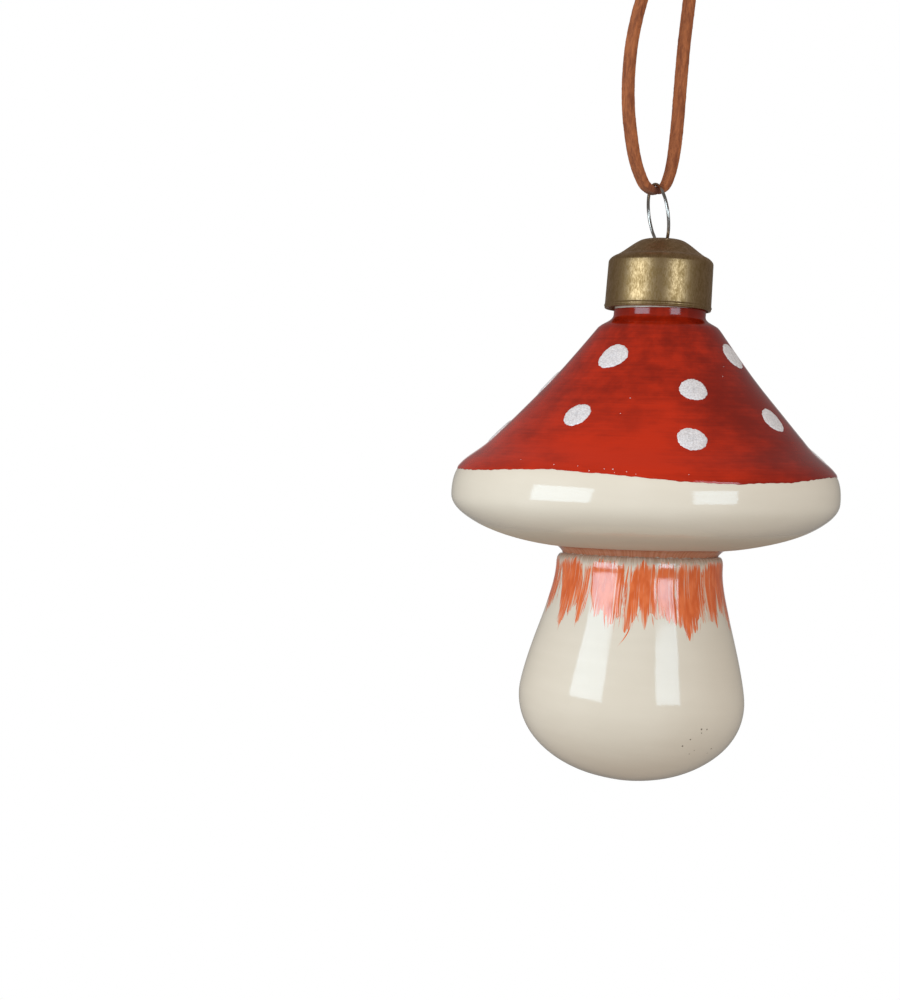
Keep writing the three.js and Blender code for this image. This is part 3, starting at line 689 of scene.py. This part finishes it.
def assign(piece, body, slot, *nodes):
    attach(piece, body)
    if nodes:
        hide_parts(*nodes)


# Suede cord: a flat strip that twists a little, with a knot of two wraps and two cut tails
CORD_STEPS = 260
STRAND_TWIST = radians(12)
TWIST_LENGTH = 12
NAP_DEPTH = 0.04
CROOK_LENGTH = 1.6
CROOK_LIFT = 0.27
CROOK_CROWN = 0.46
KNOT_LEVEL = 4.8
KNOT_RISE = 4.6
KNOT_REACH = 2.75
KNOT_CORE_REACH = 1.7
KNOT_SWELL = 0.35
KNOT_FLATNESS = 0.92
KNOT_PINCH = 0.58
KNOT_NAP = 0.012
PRESSED_WIDTH = 0.85 * CORD_WIDTH
PRESSED_THICKNESS = 0.8 * CORD_THICKNESS
WRAP_STEPS = 90
WRAP_TURNS = (-0.35, 1.55)
WRAP_FOOT = 1.3
WRAP_CLIMB = 0.75
TAIL_STEPS = 44
TAIL_LENGTH = 8.5
TAIL_SPREAD = 2.4
nap_draw = np.random.default_rng(7)


def nap_rings(rings, depth):
    middles = rings.mean(axis=1, keepdims=True)
    return middles + (rings - middles) * (1 + nap_draw.normal(0, depth, rings.shape[:2])[..., None])


def suede_cord(material):
    right = [(aside + x, 0, z) for x, z, aside in CORD_POINTS]
    left = [(aside - x, 0, z) for x, z, aside in CORD_POINTS[:0:-1]]
    path = smooth_path(left + right, 12, CORD_STEPS)
    along = np.linspace(0, 1, CORD_STEPS) * lengths_along(path)[-1]
    from_crook = along - along[path[:, 2].argmin()]
    in_crook = np.exp(-(from_crook / CROOK_LENGTH) ** 2)
    path[:, 2] += CROOK_LIFT * in_crook
    path *= MM
    twist = np.clip(from_crook / TWIST_LENGTH, -1, 1) * STRAND_TWIST
    across = np.cross(directions(path), (0, 1, 0))
    sides = np.array([0, 1, 0]) * np.cos(twist)[:, None] + across * np.sin(twist)[:, None]
    section = strip_section(CORD_WIDTH * MM, CORD_THICKNESS * MM, 32)
    rings = sweep(path, sides, section)
    crown = 1 - (section[:, 0] / (CORD_WIDTH / 2 * MM)) ** 2
    rings[:, :, 2] += CROOK_CROWN * MM * in_crook[:, None] * crown
    rings = nap_rings(rings, NAP_DEPTH / CORD_WIDTH)
    cord = make_object("suede_loop", rings, swept_faces(*rings.shape[:2]), material)
    # Crook layer: where the suede is drawn darker as painted shade, in the fold over the wire
    add_layer(cord, "crook", np.repeat(in_crook, rings.shape[1]))
    return cord, path


def cord_knot(material):
    section = strip_section(PRESSED_WIDTH * MM, PRESSED_THICKNESS * MM, 24)
    points, faces = [], []

    def add(path, side):
        rings = nap_rings(sweep(path * MM, side, section), KNOT_NAP)
        faces.extend(tuple(len(points) + i for i in face) for face in swept_faces(*rings.shape[:2]))
        points.extend(rings.reshape(-1, 3))

    turn = np.linspace(*WRAP_TURNS, WRAP_STEPS) * 2 * pi
    share = (turn - turn[0]) / (turn[-1] - turn[0])
    level = KNOT_LEVEL + WRAP_FOOT + KNOT_RISE * share * WRAP_CLIMB
    for reach, winding in ((KNOT_REACH, 1), (KNOT_CORE_REACH, -1)):
        swell = reach + KNOT_SWELL * np.sin(share * pi)
        wrap = np.column_stack([swell * np.cos(turn), KNOT_FLATNESS * winding * swell * np.sin(turn), level])
        add(wrap, (0, 0, 1))
    end_x = CORD_POINTS[-1][0]
    knot_top = KNOT_LEVEL + KNOT_RISE
    for side in (-1, 1):
        tail = smooth_path([
            (side * (end_x + 0.35), 0, KNOT_LEVEL - 1.9), (side * end_x, 0, KNOT_LEVEL - 0.6),
            (side * KNOT_PINCH, 0, KNOT_LEVEL + KNOT_RISE / 2), (side * KNOT_PINCH, 0, knot_top),
            (side * (end_x + 0.5), 0.2 * side, knot_top + TAIL_LENGTH * 0.55),
            (side * (end_x + TAIL_SPREAD), 0.7 * side, knot_top + TAIL_LENGTH),
        ], 14, TAIL_STEPS)
        add(tail, (0, 1, 0))
    return make_object("suede_knot", points, faces, material)


# Blown glass shell with its open neck
GLASS_TURNS = 256
OUTSIDE_ROWS = 220
WAIST_ROWS = 48
INSIDE_ROWS = 80
POLE_ARC = 0.4


def glass_shell(material):
    angles = full_turn(GLASS_TURNS)
    low, high = stem_top_arc - 1, fillet_arc + 2
    outside = np.linspace(POLE_ARC, rim_arc, OUTSIDE_ROWS)
    outside = outside[(outside <= low) | (outside >= high)]
    outside = np.sort(np.hstack([outside, np.linspace(low, high, WAIST_ROWS)]))
    arcs = np.hstack([outside, np.linspace(rim_arc, POLE_ARC, INSIDE_ROWS)])
    lifts = np.hstack([np.zeros(len(outside)), np.full(INSIDE_ROWS, -GLASS_WALL)])
    points = over_glass(arcs[:, None], angles, lifts[:, None]).reshape(-1, 3)
    poles = over_glass(np.zeros(2), 0, np.array([0, -GLASS_WALL]))
    rows = len(arcs)
    faces = grid_faces(rows, GLASS_TURNS)
    faces += fan_faces(range(GLASS_TURNS), len(points), flip=True)
    faces += fan_faces(range((rows - 1) * GLASS_TURNS, rows * GLASS_TURNS), len(points) + 1, flip=False)
    shell = make_object("glass_shell", np.vstack([points, poles]), faces, material)
    # The underside, for a rougher glaze and for painted shade under the brim
    under = ease(arcs, waist_arc, fillet_arc) * (1 - ease(arcs, fillet_arc + 10, brim_arc - 5))
    # The stem's top rim up to the fillet: painted shade in the brim's shadow, with streaks of paint residue
    rim_shade_and_residue_mask = ease(arcs, stem_top_arc + 0.3, waist_arc - 0.9)
    rim_shade_and_residue_mask = rim_shade_and_residue_mask * (1 - ease(arcs, fillet_arc, fillet_arc + 1))
    for name, values in (("under", under), ("rim_shade_and_residue_mask", rim_shade_and_residue_mask)):
        add_layer(shell, name, np.append(np.repeat(values, GLASS_TURNS), [0, 0]))
    lays = lay_vectors(arcs[:, None], angles).reshape(-1, 3)
    add_layer(shell, "lay", np.vstack([lays, lay_vectors(np.zeros(2), 0)]))
    return shell


# Red lacquer, brushed on down to a hand-painted edge
LACQUER_TURNS = 420
LACQUER_ROWS = 76
NECK_ROWS = 26
NECK_SHARE = 0.92
LACQUER_UNDER = 0.015
# How light the lacquer is drawn, as a product of two lines: by degrees from the front, and by slope distance
# up. This is painted light and shade: lightest at the front and left, darkest on the right, darker towards
# the neck
LACQUER_LIGHT_ROUND = (
    [-180, -120, -70, -30, 0, 16, 34, 60, 110, 180], [0.5, 0.6, 0.72, 0.8, 0.9, 0.78, 0.4, 0.16, 0.35, 0.5],
)
LACQUER_LIGHT_UP = ([3, 12, 19, 27, 38, 43], [0.95, 1, 0.84, 0.55, 0.7, 0.45])
# Patches where it lies thinner or thicker: degrees from the front, slope distance up, reach both ways, change
LACQUER_PATCHES = [
    (-1.5, 12, 5, 3.5, 0.35), (-14, 9, 9, 3, 0.2), (4, 38, 14, 3, -0.2), (-8, 31, 8, 3, -0.2),
    (26, 20, 7, 4, -0.2), (38, 38, 14, 6, 0.25), (-52, 14, 8, 5, -0.2), (-40, 29, 8, 5, 0.15),
    (8, 22, 5, 3, 0.15),
]


def wandering(angles, waves, size, seed):
    """A closed line that wanders about 0, from a few waves of random phase."""
    draw = np.random.default_rng(seed)
    line = np.zeros_like(angles)
    for wave in waves:
        line += np.sin(wave * angles + draw.uniform(0, 2 * pi)) * draw.uniform(0.5, 1)
    return line * size / sqrt(len(waves))


def lacquer_light_and_thickness(slope, degrees):
    """How light the lacquer is drawn, by slope distance up and degrees from the front: painted light and
    shade, with patches of thinner and thicker paint.
    """
    turned_by = (degrees + 180) % 360 - 180
    wash = np.interp(turned_by, *LACQUER_LIGHT_ROUND) * np.interp(slope, *LACQUER_LIGHT_UP)
    for across, up, wide, tall, change in LACQUER_PATCHES:
        off = ((turned_by - across) / wide) ** 2 + ((slope - up) / tall) ** 2
        wash = wash + change * np.exp(-off)
    return wash


def lacquer_coat(material):
    angles = full_turn(LACQUER_TURNS)
    turn = angles - FRONT_ANGLE
    edge = -LACQUER_EDGE_WAVE * (np.sin(2 * turn) + np.sin(4 * turn))
    edge += wandering(angles, (7, 11, 17, 23), 0.12, 3) + wandering(angles, (41, 57, 83, 101, 131), 0.1, 4)
    low = brim_arc + LACQUER_EDGE_ARC + edge
    high = neck_root_arc + LACQUER_NECK_RUN + 0.25 * np.sin(turn)
    cone_rows = np.linspace(0, 1, LACQUER_ROWS)[:-1] ** 1.5 * NECK_SHARE
    share = np.hstack([cone_rows, np.linspace(NECK_SHARE, 1, NECK_ROWS)])[:, None]
    arcs = low * (1 - share) + high * share
    film = LACQUER_LIFT * (0.35 + 0.65 * ease(arcs - low, 0, 0.5))
    ridge = 0.03 * np.exp(-((arcs - low - 0.45) / 0.3) ** 2)
    outer = over_glass(arcs, angles, film + ridge)
    inner = over_glass(arcs, angles, LACQUER_UNDER)
    faces = grid_faces(2 * len(arcs), LACQUER_TURNS, close_rows=True)
    coat = make_object("lacquer_coat", np.vstack([outer, inner[::-1]]), faces, material)
    lays = lay_vectors(arcs, angles)
    add_layer(coat, "lay", np.vstack([lays, lays[::-1]]))
    # Painted light and shade over the cone, with patches of uneven paint
    wash = lacquer_light_and_thickness(arcs - brim_arc, np.degrees(turn))
    add_layer(coat, "wash", np.vstack([wash, wash[::-1]]))
    return coat


# Brushwork: each dab a thin film with ragged ends, and loose bristle marks beside them
FILM_STATIONS = 26
COLUMNS_PER_DEGREE = 3
FINE_TEETH = 2
BROAD_TEETH = 6
THIN_EDGE = 0.07
MARK_STATIONS = 14
TIP_MARKS = 7
EDGE_MARKS = 4
COLLAR_TURNS = 360
COLLAR_ROWS = 26
COLLAR_FOOT = 0.05
COLLAR_REACH = 0.5
COLLAR_LIFT = 0.02


def teeth(draw, count, pitch, size):
    """A ragged line: random points every few columns, joined by straight lines."""
    places = np.cumsum(draw.uniform(0.4, 1.6, count) * pitch)
    return np.interp(np.arange(count), places, draw.uniform(-size, size, count))


def film_faces(rings, around):
    """Faces of a flat tube, its ends closed by quads."""
    made = grid_faces(rings, around)
    last = (rings - 1) * around
    for i in range(around // 2 - 1):
        a, b, c, d = i, i + 1, around - 2 - i, around - 1 - i
        made.append((d, c, b, a))
        made.append((last + a, last + b, last + c, last + d))
    return made


def brush_marks(material):
    points, faces = [], []
    layers = {"lay": [], "thin": [], "wash": []}

    def add_rings(arcs, angles, lifts, thin, made_faces, wash=0):
        """A closed tube of rings, each across the stroke and back under it."""
        start = len(points)
        points.extend(over_glass(arcs, angles, lifts).reshape(-1, 3))
        layers["lay"].extend(lay_vectors(arcs, angles).reshape(-1, 3))
        layers["thin"].extend(np.broadcast_to(thin, arcs.shape).ravel())
        layers["wash"].extend(np.full(arcs.size, wash))
        faces.extend(tuple(start + i for i in face) for face in turned_over(made_faces))

    def add_film(top_edges, low_edges, notch, tips, draw):
        count = int((top_edges[1] - top_edges[0]) * COLUMNS_PER_DEGREE)
        across = np.linspace(0, 1, count)
        low_degrees = np.interp(across, [0, 1], low_edges)
        low = np.full(count, notch)
        for degrees, level in tips:
            reach = np.clip(1 - np.abs(low_degrees - degrees) / draw.uniform(3.5, 6), 0, 1) ** 0.8
            low = np.minimum(low, notch - (notch - level) * reach)
        low += teeth(draw, count, FINE_TEETH, 0.9) + teeth(draw, count, BROAD_TEETH, 0.4)
        high = STROKE_TOP_LEVEL + teeth(draw, count, FINE_TEETH, 0.5) - 0.8 * (2 * across - 1) ** 6
        share = np.linspace(0, 1, FILM_STATIONS)[:, None]
        arcs = stem_arc(low) * (1 - share) + stem_arc(high) * share
        degrees = low_degrees * (1 - share) + np.interp(across, [0, 1], top_edges) * share
        degrees = degrees + 0.5 * np.sin(share * 5 + draw.uniform(0, 6))
        angles = from_front(degrees)
        inside = ease(np.minimum(across, 1 - across), 0, THIN_EDGE)
        body = inside * ease(share, 0, 0.3) * ease(1 - share, 0, 0.06)
        film = STROKE_EDGE_LIFT + STROKE_LIFT * body * (1 + teeth(draw, count, FINE_TEETH, 0.25))
        end_thin = 1 - ease(share, 0, 0.35)
        top_thin = 1 - ease(1 - share, 0, 0.12)
        thin = np.clip((1 - inside) * 0.7 + end_thin * 0.45 + top_thin * 0.6, 0, 1)
        lifts = np.hstack([film, np.full_like(film, UNDER_FILM)])
        arcs, angles, thin = (np.hstack([grid, grid[:, ::-1]]) for grid in (arcs, angles, thin))
        add_rings(arcs, angles, lifts, thin, film_faces(FILM_STATIONS, 2 * count))

    def add_mark(degrees, low, high, width, lean, thin, bow=0):
        share = np.linspace(0, 1, MARK_STATIONS)
        arcs = stem_arc(low) + (stem_arc(high) - stem_arc(low)) * share
        taper = np.minimum(ease(share, 0, 0.45), ease(1 - share, 0, 0.15)) * 0.97 + 0.03
        middle = from_front(degrees + lean * (share - 0.5) + bow * (share - 0.5) ** 2)
        half = width / 2 * taper / glass_radius(arcs)
        angles = np.stack([middle - half, middle, middle + half, middle], axis=1)
        ridge = STROKE_EDGE_LIFT + STROKE_LIFT * 0.7 * taper
        edge = np.full_like(ridge, STROKE_EDGE_LIFT)
        lifts = np.stack([edge, ridge, edge, np.full_like(ridge, UNDER_FILM)], axis=1)
        add_rings(np.repeat(arcs[:, None], 4, axis=1), angles, lifts, thin, swept_faces(MARK_STATIONS, 4))

    def add_collar():
        """A wash of thin paint in the fillet over the stem."""
        turn = full_turn(COLLAR_TURNS)
        low = waist_arc + COLLAR_FOOT + wandering(turn, (31, 47, 71, 97), 0.16, 91)
        high = fillet_arc + COLLAR_REACH + wandering(turn, (17, 43, 61, 89), 0.12, 92)
        share = np.hstack([np.linspace(0, 1, COLLAR_ROWS), np.linspace(1, 0, COLLAR_ROWS)])[:, None]
        lifts = np.repeat([COLLAR_LIFT, UNDER_FILM], COLLAR_ROWS)[:, None] + np.zeros(COLLAR_TURNS)
        arcs = low * (1 - share) + high * share
        angles = np.broadcast_to(turn, arcs.shape)
        rows = turned_over(grid_faces(*arcs.shape, close_rows=True))
        add_rings(arcs, angles, lifts, 0, rows, wash=1)

    for number, (top_edges, low_edges, notch, tips) in enumerate(DABS):
        draw = np.random.default_rng(40 + number)
        add_film(top_edges, low_edges, notch, tips, draw)
        for degrees, level in tips:
            for _ in range(TIP_MARKS):
                foot = level + draw.uniform(-0.6, 2.6)
                top = foot + draw.uniform(2.5, 6)
                width = draw.uniform(0.08, 0.26)
                beside = degrees + draw.normal(0, 2.6)
                add_mark(beside, foot, top, width, draw.normal(0, 1.6), draw.uniform(0.1, 0.7))
        for edge in top_edges:
            for _ in range(EDGE_MARKS):
                foot = draw.uniform(35, 40)
                top = STROKE_TOP_LEVEL - draw.uniform(0, 1.5)
                width = draw.uniform(0.1, 0.36)
                beside = edge + draw.normal(0, 2)
                add_mark(beside, foot, top, width, draw.normal(0, 3), draw.uniform(0.1, 0.8))
    add_collar()
    draw = np.random.default_rng(90)
    for degrees in LOOSE_MARKS:
        foot = draw.uniform(34.5, 37.5)
        width = draw.uniform(0.35, 0.6)
        add_mark(degrees, foot, STROKE_TOP_LEVEL - 0.3, width, 3, draw.uniform(0.1, 0.5))
    add_mark(*STRAY_BRISTLE)
    marks = make_object("brush_marks", points, faces, material)
    marks.data.set_sharp_from_angle(angle=radians(50))
    for name, values in layers.items():
        add_layer(marks, name, values)
    return marks


# Glitter dots: low grainy domes on the lacquer
DOT_TURNS = 72
DOT_RINGS = 20
DOT_GRAIN = 0.035


def glitter_dot(number, degrees, slope, radius, material):
    draw = np.random.default_rng(100 + number)
    turn = full_turn(DOT_TURNS)
    wander = 1 + wandering(turn, (2, 3), 0.05, 200 + number)
    wander = wander + wandering(turn, (7, 11, 17, 23), 0.028, 300 + number)
    share = np.linspace(1 / DOT_RINGS, 1, DOT_RINGS)[::-1, None]
    reach = radius * share * wander
    arc = brim_arc + slope
    angle = from_front(degrees)
    arcs = arc + reach * np.cos(turn)
    angles = angle + reach * np.sin(turn) / glass_radius(arc)
    grain = draw.uniform(-DOT_GRAIN, DOT_GRAIN, (DOT_RINGS, DOT_TURNS)) * ease(1 - share, 0, 0.15)
    lifts = DOT_FLOOR + (DOT_LIFT - DOT_FLOOR) * (1 - share ** 4) ** 0.5 + grain
    under = over_glass(arcs[:1], angles[:1], DOT_FLOOR + UNDER_FILM)
    points = np.vstack([under, over_glass(arcs, angles, lifts)]).reshape(-1, 3)
    poles = [over_glass(arc, angle, DOT_FLOOR + UNDER_FILM), over_glass(arc, angle, DOT_LIFT)]
    faces = turned_over(grid_faces(DOT_RINGS + 1, DOT_TURNS))
    faces += fan_faces(range(DOT_TURNS), len(points), flip=False)
    faces += fan_faces(range(DOT_RINGS * DOT_TURNS, len(points)), len(points) + 1, flip=True)
    return make_object(f"dot_{number:02d}", np.vstack([points, *poles]), faces, material)


# Specks of paint on the bulb and stray flakes of glitter on the lacquer
SPECK_SIDES = 10
SPECK_RIM = -0.02
SPECK_TIP = 0.06


def small_specks(name, places, floor, material):
    """Low cones, each given by slope distance, degrees from the front and radius."""
    points, faces = [], []
    turn = full_turn(SPECK_SIDES)
    for arc, degrees, radius in places:
        angle = from_front(degrees)
        ring_angles = angle + radius * np.sin(turn) / glass_radius(arc)
        start = len(points)
        points.extend(over_glass(arc + radius * np.cos(turn), ring_angles, floor + SPECK_RIM))
        points.append(over_glass(arc, angle, floor + SPECK_TIP))
        points.append(over_glass(arc, angle, floor + UNDER_FILM))
        ring = range(start, start + SPECK_SIDES)
        faces += fan_faces(ring, start + SPECK_SIDES, flip=True)
        faces += fan_faces(ring, start + SPECK_SIDES + 1, flip=False)
    return make_object(name, points, faces, material)


# Stamped cap with a beaded lip and two holes for the wire
CAP_TURNS = 160
CAP_MIDDLE = 0.05
LIP_CLEARANCE = 1.5
HOLE_RADIUS = WIRE_RADIUS + 0.25
HOLE_SIDES = 24
# The bead, from the edge up: radius past the lip's, height over the lip
LIP_BEAD = [
    (-0.3, 0), (-0.12, 0.03), (-0.03, 0.14), (-0.03, 0.3), (0, 0.4), (0.06, 0.5), (0.09, 0.64), (0.06, 0.78),
    (-0.01, 0.9), (-0.04, 1.1),
]


def cap_profile():
    """Outside from the lip to the middle of the crown: radius, height over the lip."""
    lip = np.array(LIP_BEAD) + (CAP_LIP_RADIUS, -CAP_DROP)
    side_top = (CAP_RADIUS, CAP_SIDE_HEIGHT)
    side = np.linspace(lip[-1], side_top, 10)[1:]
    shoulder_end = (9.15, 10.75)
    shoulder = cubic(side_top, (CAP_RADIUS, 9.8), (9.9, 10.5), shoulder_end, 12)[1:]
    cone_end = (4.5, 13.9)
    cone = cubic(shoulder_end, (7.9, 11.4), (6, 13.2), cone_end, 14)[1:]
    crown = cubic(cone_end, (3.6, 14.3), (2, CAP_HEIGHT), (CAP_MIDDLE, CAP_HEIGHT), 14)[1:]
    return np.vstack([lip, side, shoulder, cone, crown])


def metal_cap(material):
    outside = cap_profile()
    tangents = directions(outside)
    inside = outside - CAP_SHEET * np.column_stack([tangents[:, 1], -tangents[:, 0]])
    inside[:, 0] = np.clip(inside[:, 0], CAP_MIDDLE, CAP_LIP_RADIUS - CAP_SHEET)
    inside = inside[inside[:, 1] > LIP_CLEARANCE]
    inside = np.vstack([(CAP_LIP_RADIUS - CAP_SHEET, 0.05 - CAP_DROP), inside])
    profile = np.vstack([inside[::-1], outside])
    angles = full_turn(CAP_TURNS)
    across = np.cos(angles - VIEW_ANGLE)
    towards_front = -np.sin(angles - VIEW_ANGLE)
    tilt = CAP_TILT_ACROSS * across + CAP_TILT_FRONT * towards_front
    rings = np.stack([
        profile[:, :1] * np.cos(angles), profile[:, :1] * np.sin(angles),
        profile[:, 1:] + cap_lip_level + profile[:, :1] * tilt,
    ], axis=-1) * MM
    cap = make_object("stamped_cap", rings, swept_faces(len(profile), CAP_TURNS), material)
    for side in (-1, 1):
        drill_hole(cap, side * LEG_SPACING / 2)
    return cap


def drill_hole(cap, across):
    path = np.array([(LEG_ASIDE, across, cap_top_level + past) for past in (-3, 2)]) * MM
    rings = sweep(path, (1, 0, 0), round_section(HOLE_RADIUS * MM, HOLE_SIDES))
    drill = make_object("drill", rings, swept_faces(2, HOLE_SIDES))
    cut = cap.modifiers.new("hole", "BOOLEAN")
    cut.operation = "DIFFERENCE"
    cut.solver = "EXACT"
    cut.object = drill
    bpy.context.view_layer.update()
    evaluated = cap.evaluated_get(bpy.context.evaluated_depsgraph_get())
    cut_mesh = bpy.data.meshes.new_from_object(evaluated)
    cap.modifiers.clear()
    cap.data = cut_mesh
    bpy.data.objects.remove(drill)


# Spring wire: a leaning loop, whose two legs go through the cap and spread in the neck
WIRE_STEPS = 240
WIRE_SIDES = 16
LOOP_POINTS = 13


def wire_point(across, level):
    return (LEG_ASIDE - tan(LOOP_LEAN) * max(level - cap_top_level, 0), across, level)


def hanger_wire(material):
    widest = cap_top_level + LOOP_WIDEST
    throat = pi - asin(LOOP_THROAT_WIDTH / 2 / LOOP_HALF_WIDTH)
    half = []
    for turn in np.linspace(0, throat, LOOP_POINTS):
        reach = LOOP_TOP_HEIGHT if turn < pi / 2 else LOOP_THROAT_DEPTH
        half.append((LOOP_HALF_WIDTH * sin(turn), widest + reach * cos(turn)))
    leg = LEG_SPACING / 2
    wall = NECK_RADIUS - GLASS_WALL - LEG_CLEARANCE - WIRE_RADIUS
    neck_foot = base_level / MM + NECK_FOOT_LEVEL
    half += [
        (leg, cap_top_level - WIRE_RADIUS), (leg - LEG_BEND_IN, cap_top_level - LEG_BEND_DEPTH),
        ((leg + wall) / 2, neck_foot + LEG_SPREAD_HEIGHT),
        (wall - WIRE_RADIUS, neck_foot + LEG_TOUCH_HEIGHT), (wall, neck_foot),
    ]
    half += [(wall + LEG_END_SPREAD, neck_foot - depth) for depth in LEG_END_DEPTHS]
    points = [wire_point(-y, z) for y, z in half[:0:-1]] + [wire_point(y, z) for y, z in half]
    path = smooth_path(points, 12, WIRE_STEPS) * MM
    rings = sweep(path, (1, 0, 0), round_section(WIRE_RADIUS * MM, WIRE_SIDES))
    wire = make_object("spring_wire", rings, swept_faces(WIRE_STEPS, WIRE_SIDES), material)
    # Where the loop is drawn brown: a painted reflection of the suede, and painted shade in the cord's fold
    wear_and_painted_reflection = ease(path[:, 2] / MM, *(cap_top_level + height for height in SUEDE_REFLECTION_HEIGHTS))
    add_layer(wire, "wear_and_painted_reflection", np.repeat(wear_and_painted_reflection, WIRE_SIDES))
    return wire


# Studio: a white backdrop, a dark room, soft light that is stronger on one side, and two lamps
FLOOR_LEVEL = -0.46
FLOOR_RADIUS = 0.55
FLOOR_FADE = 0.2
FLOOR_SIDES = 64
FLOOR_GREY = (0.55, 0.55, 0.55)
STUDIO_TONES = (0.36, 0.325, 0.284), (0.81, 0.73, 0.655)
STUDIO_SIDE = -30
STUDIO_HEIGHT = radians(45)
STUDIO_SPREAD = 0.8
ROOM_GREY = (0.2, 0.2, 0.2)
BACKDROP_EDGE = (0.97, 0.998)
LAMP_COLOUR = (0.63, 0.84, 1)
LAMP_AIM = 0.05
# Lamps: name, degrees round from the front, distance, level over the base, width, height, radiance
SOFTBOXES = [
    ("softbox_left", -45.5, 0.28, 0.098, 0.182, 0.106, 7.2),
    ("softbox_right", 37.6, 0.28, 0.109, 0.124, 0.084, 7.2),
]


def make_world():
    world = bpy.data.worlds.new("studio")
    bpy.context.scene.world = world
    world.use_nodes = True
    world.node_tree.nodes.clear()
    nodes = Nodes(world.node_tree)
    outward = nodes.node("TexCoord", "Generated")

    def towards(direction):
        return nodes.vector("DOT_PRODUCT", outward, direction, "Value")

    def ray(kind):
        return nodes.node("LightPath", f"Is {kind} Ray")

    def background(colour):
        return nodes.node("Background", 0, {"Color": colour})

    def blend(share, first, second):
        return nodes.node("MixShader", 0, {0: share, 1: first, 2: second})

    # The room is lighter on the side of the larger lamp
    sunny = towards(beside_axis(STUDIO_SIDE, cos(STUDIO_HEIGHT), sin(STUDIO_HEIGHT)))
    tone = nodes.mix(nodes.ramp(sunny, -STUDIO_SPREAD, STUDIO_SPREAD, kind="LINEAR"), *STUDIO_TONES)
    # Mirror-like surfaces see the white backdrop behind the object and a dark room elsewhere
    behind = towards((-sin(VIEW_ANGLE), cos(VIEW_ANGLE), 0))
    backdrop = nodes.ramp(behind, *BACKDROP_EDGE, kind="LINEAR")
    mirrored = nodes.math("MAXIMUM", ray("Glossy"), ray("Transmission"))
    shown = nodes.math("ADD", nodes.math("MULTIPLY", mirrored, backdrop), ray("Camera"))
    lit = blend(mirrored, background(tone), background(ROOM_GREY))
    output = nodes.tree.nodes.new("ShaderNodeOutputWorld")
    nodes.feed(output.inputs["Surface"], blend(shown, lit, background((1, 1, 1))))


def make_floor():
    turn = full_turn(FLOOR_SIDES)
    rim = np.column_stack([np.cos(turn), np.sin(turn), np.zeros(FLOOR_SIDES)]) * FLOOR_RADIUS
    faces = fan_faces(range(FLOOR_SIDES), FLOOR_SIDES, flip=False)
    look = Shader("floor", Base_Color=FLOOR_GREY, Roughness=0.8)
    away = look.vector("LENGTH", look.place(), output="Value")
    look.set("Alpha", look.ramp(away, FLOOR_FADE, FLOOR_RADIUS * 0.98, 1, 0))
    floor = make_object("floor", np.vstack([rim, [[0, 0, 0]]]), faces, look.material)
    floor.location.z = FLOOR_LEVEL


def make_softbox(name, degrees, distance, level, width, height, radiance):
    data = bpy.data.lights.new(name, "AREA")
    data.shape = "RECTANGLE"
    data.size = width
    data.size_y = height
    data.color = LAMP_COLOUR
    data.energy = radiance * pi * width * height
    lamp = add_to_scene(name, data)
    place = Vector(beside_axis(degrees, distance, base_level + level))
    aim = Vector((0, 0, base_level + LAMP_AIM))
    lamp.location = place
    lamp.rotation_euler = (aim - place).to_track_quat("-Z", "Y").to_euler()


make_camera()
leather = suede()
cord, cord_path = suede_cord(leather)
knot = cord_knot(leather)
assign(cord, "cord", "suede", "suede_cord")
assign(knot, "cord", "suede", "cord_knot")

assign(glass_shell(cream_glass()), "glass", "cream_glass", "glass_body")
assign(lacquer_coat(red_lacquer()), "glass", "red_lacquer", "cap_lacquer")
assign(brush_marks(orange_paint()), "glass", "orange_paint", "stem_brushwork")
speck_places = [(stem_arc(level), degrees, radius) for degrees, level, radius in SPECK_PLACES]
assign(small_specks("stem_specks", speck_places, 0, speck_paint()), "glass", "orange_paint")
glitter = glitter_paint()
flake_places = [(brim_arc + slope, degrees, radius) for degrees, slope, radius in FLAKE_PLACES]
assign(small_specks("glitter_flakes", flake_places, LACQUER_LIFT, glitter), "glass", "glitter_paint")
for dot_number, dot_place in enumerate(DOT_PLACES, start=1):
    dot = glitter_dot(dot_number, *dot_place, glitter)
    assign(dot, "glass", "glitter_paint", f"glitter_dot_{dot_number:02d}")
assign(metal_cap(antique_brass()), "hanger", "antique_brass", "metal_cap")
assign(hanger_wire(spring_steel()), "hanger", "spring_steel", "hanger_wire")

make_world()
make_floor()
for softbox in SOFTBOXES:
    make_softbox(*softbox)
bpy.context.scene.view_settings.view_transform = "Standard"
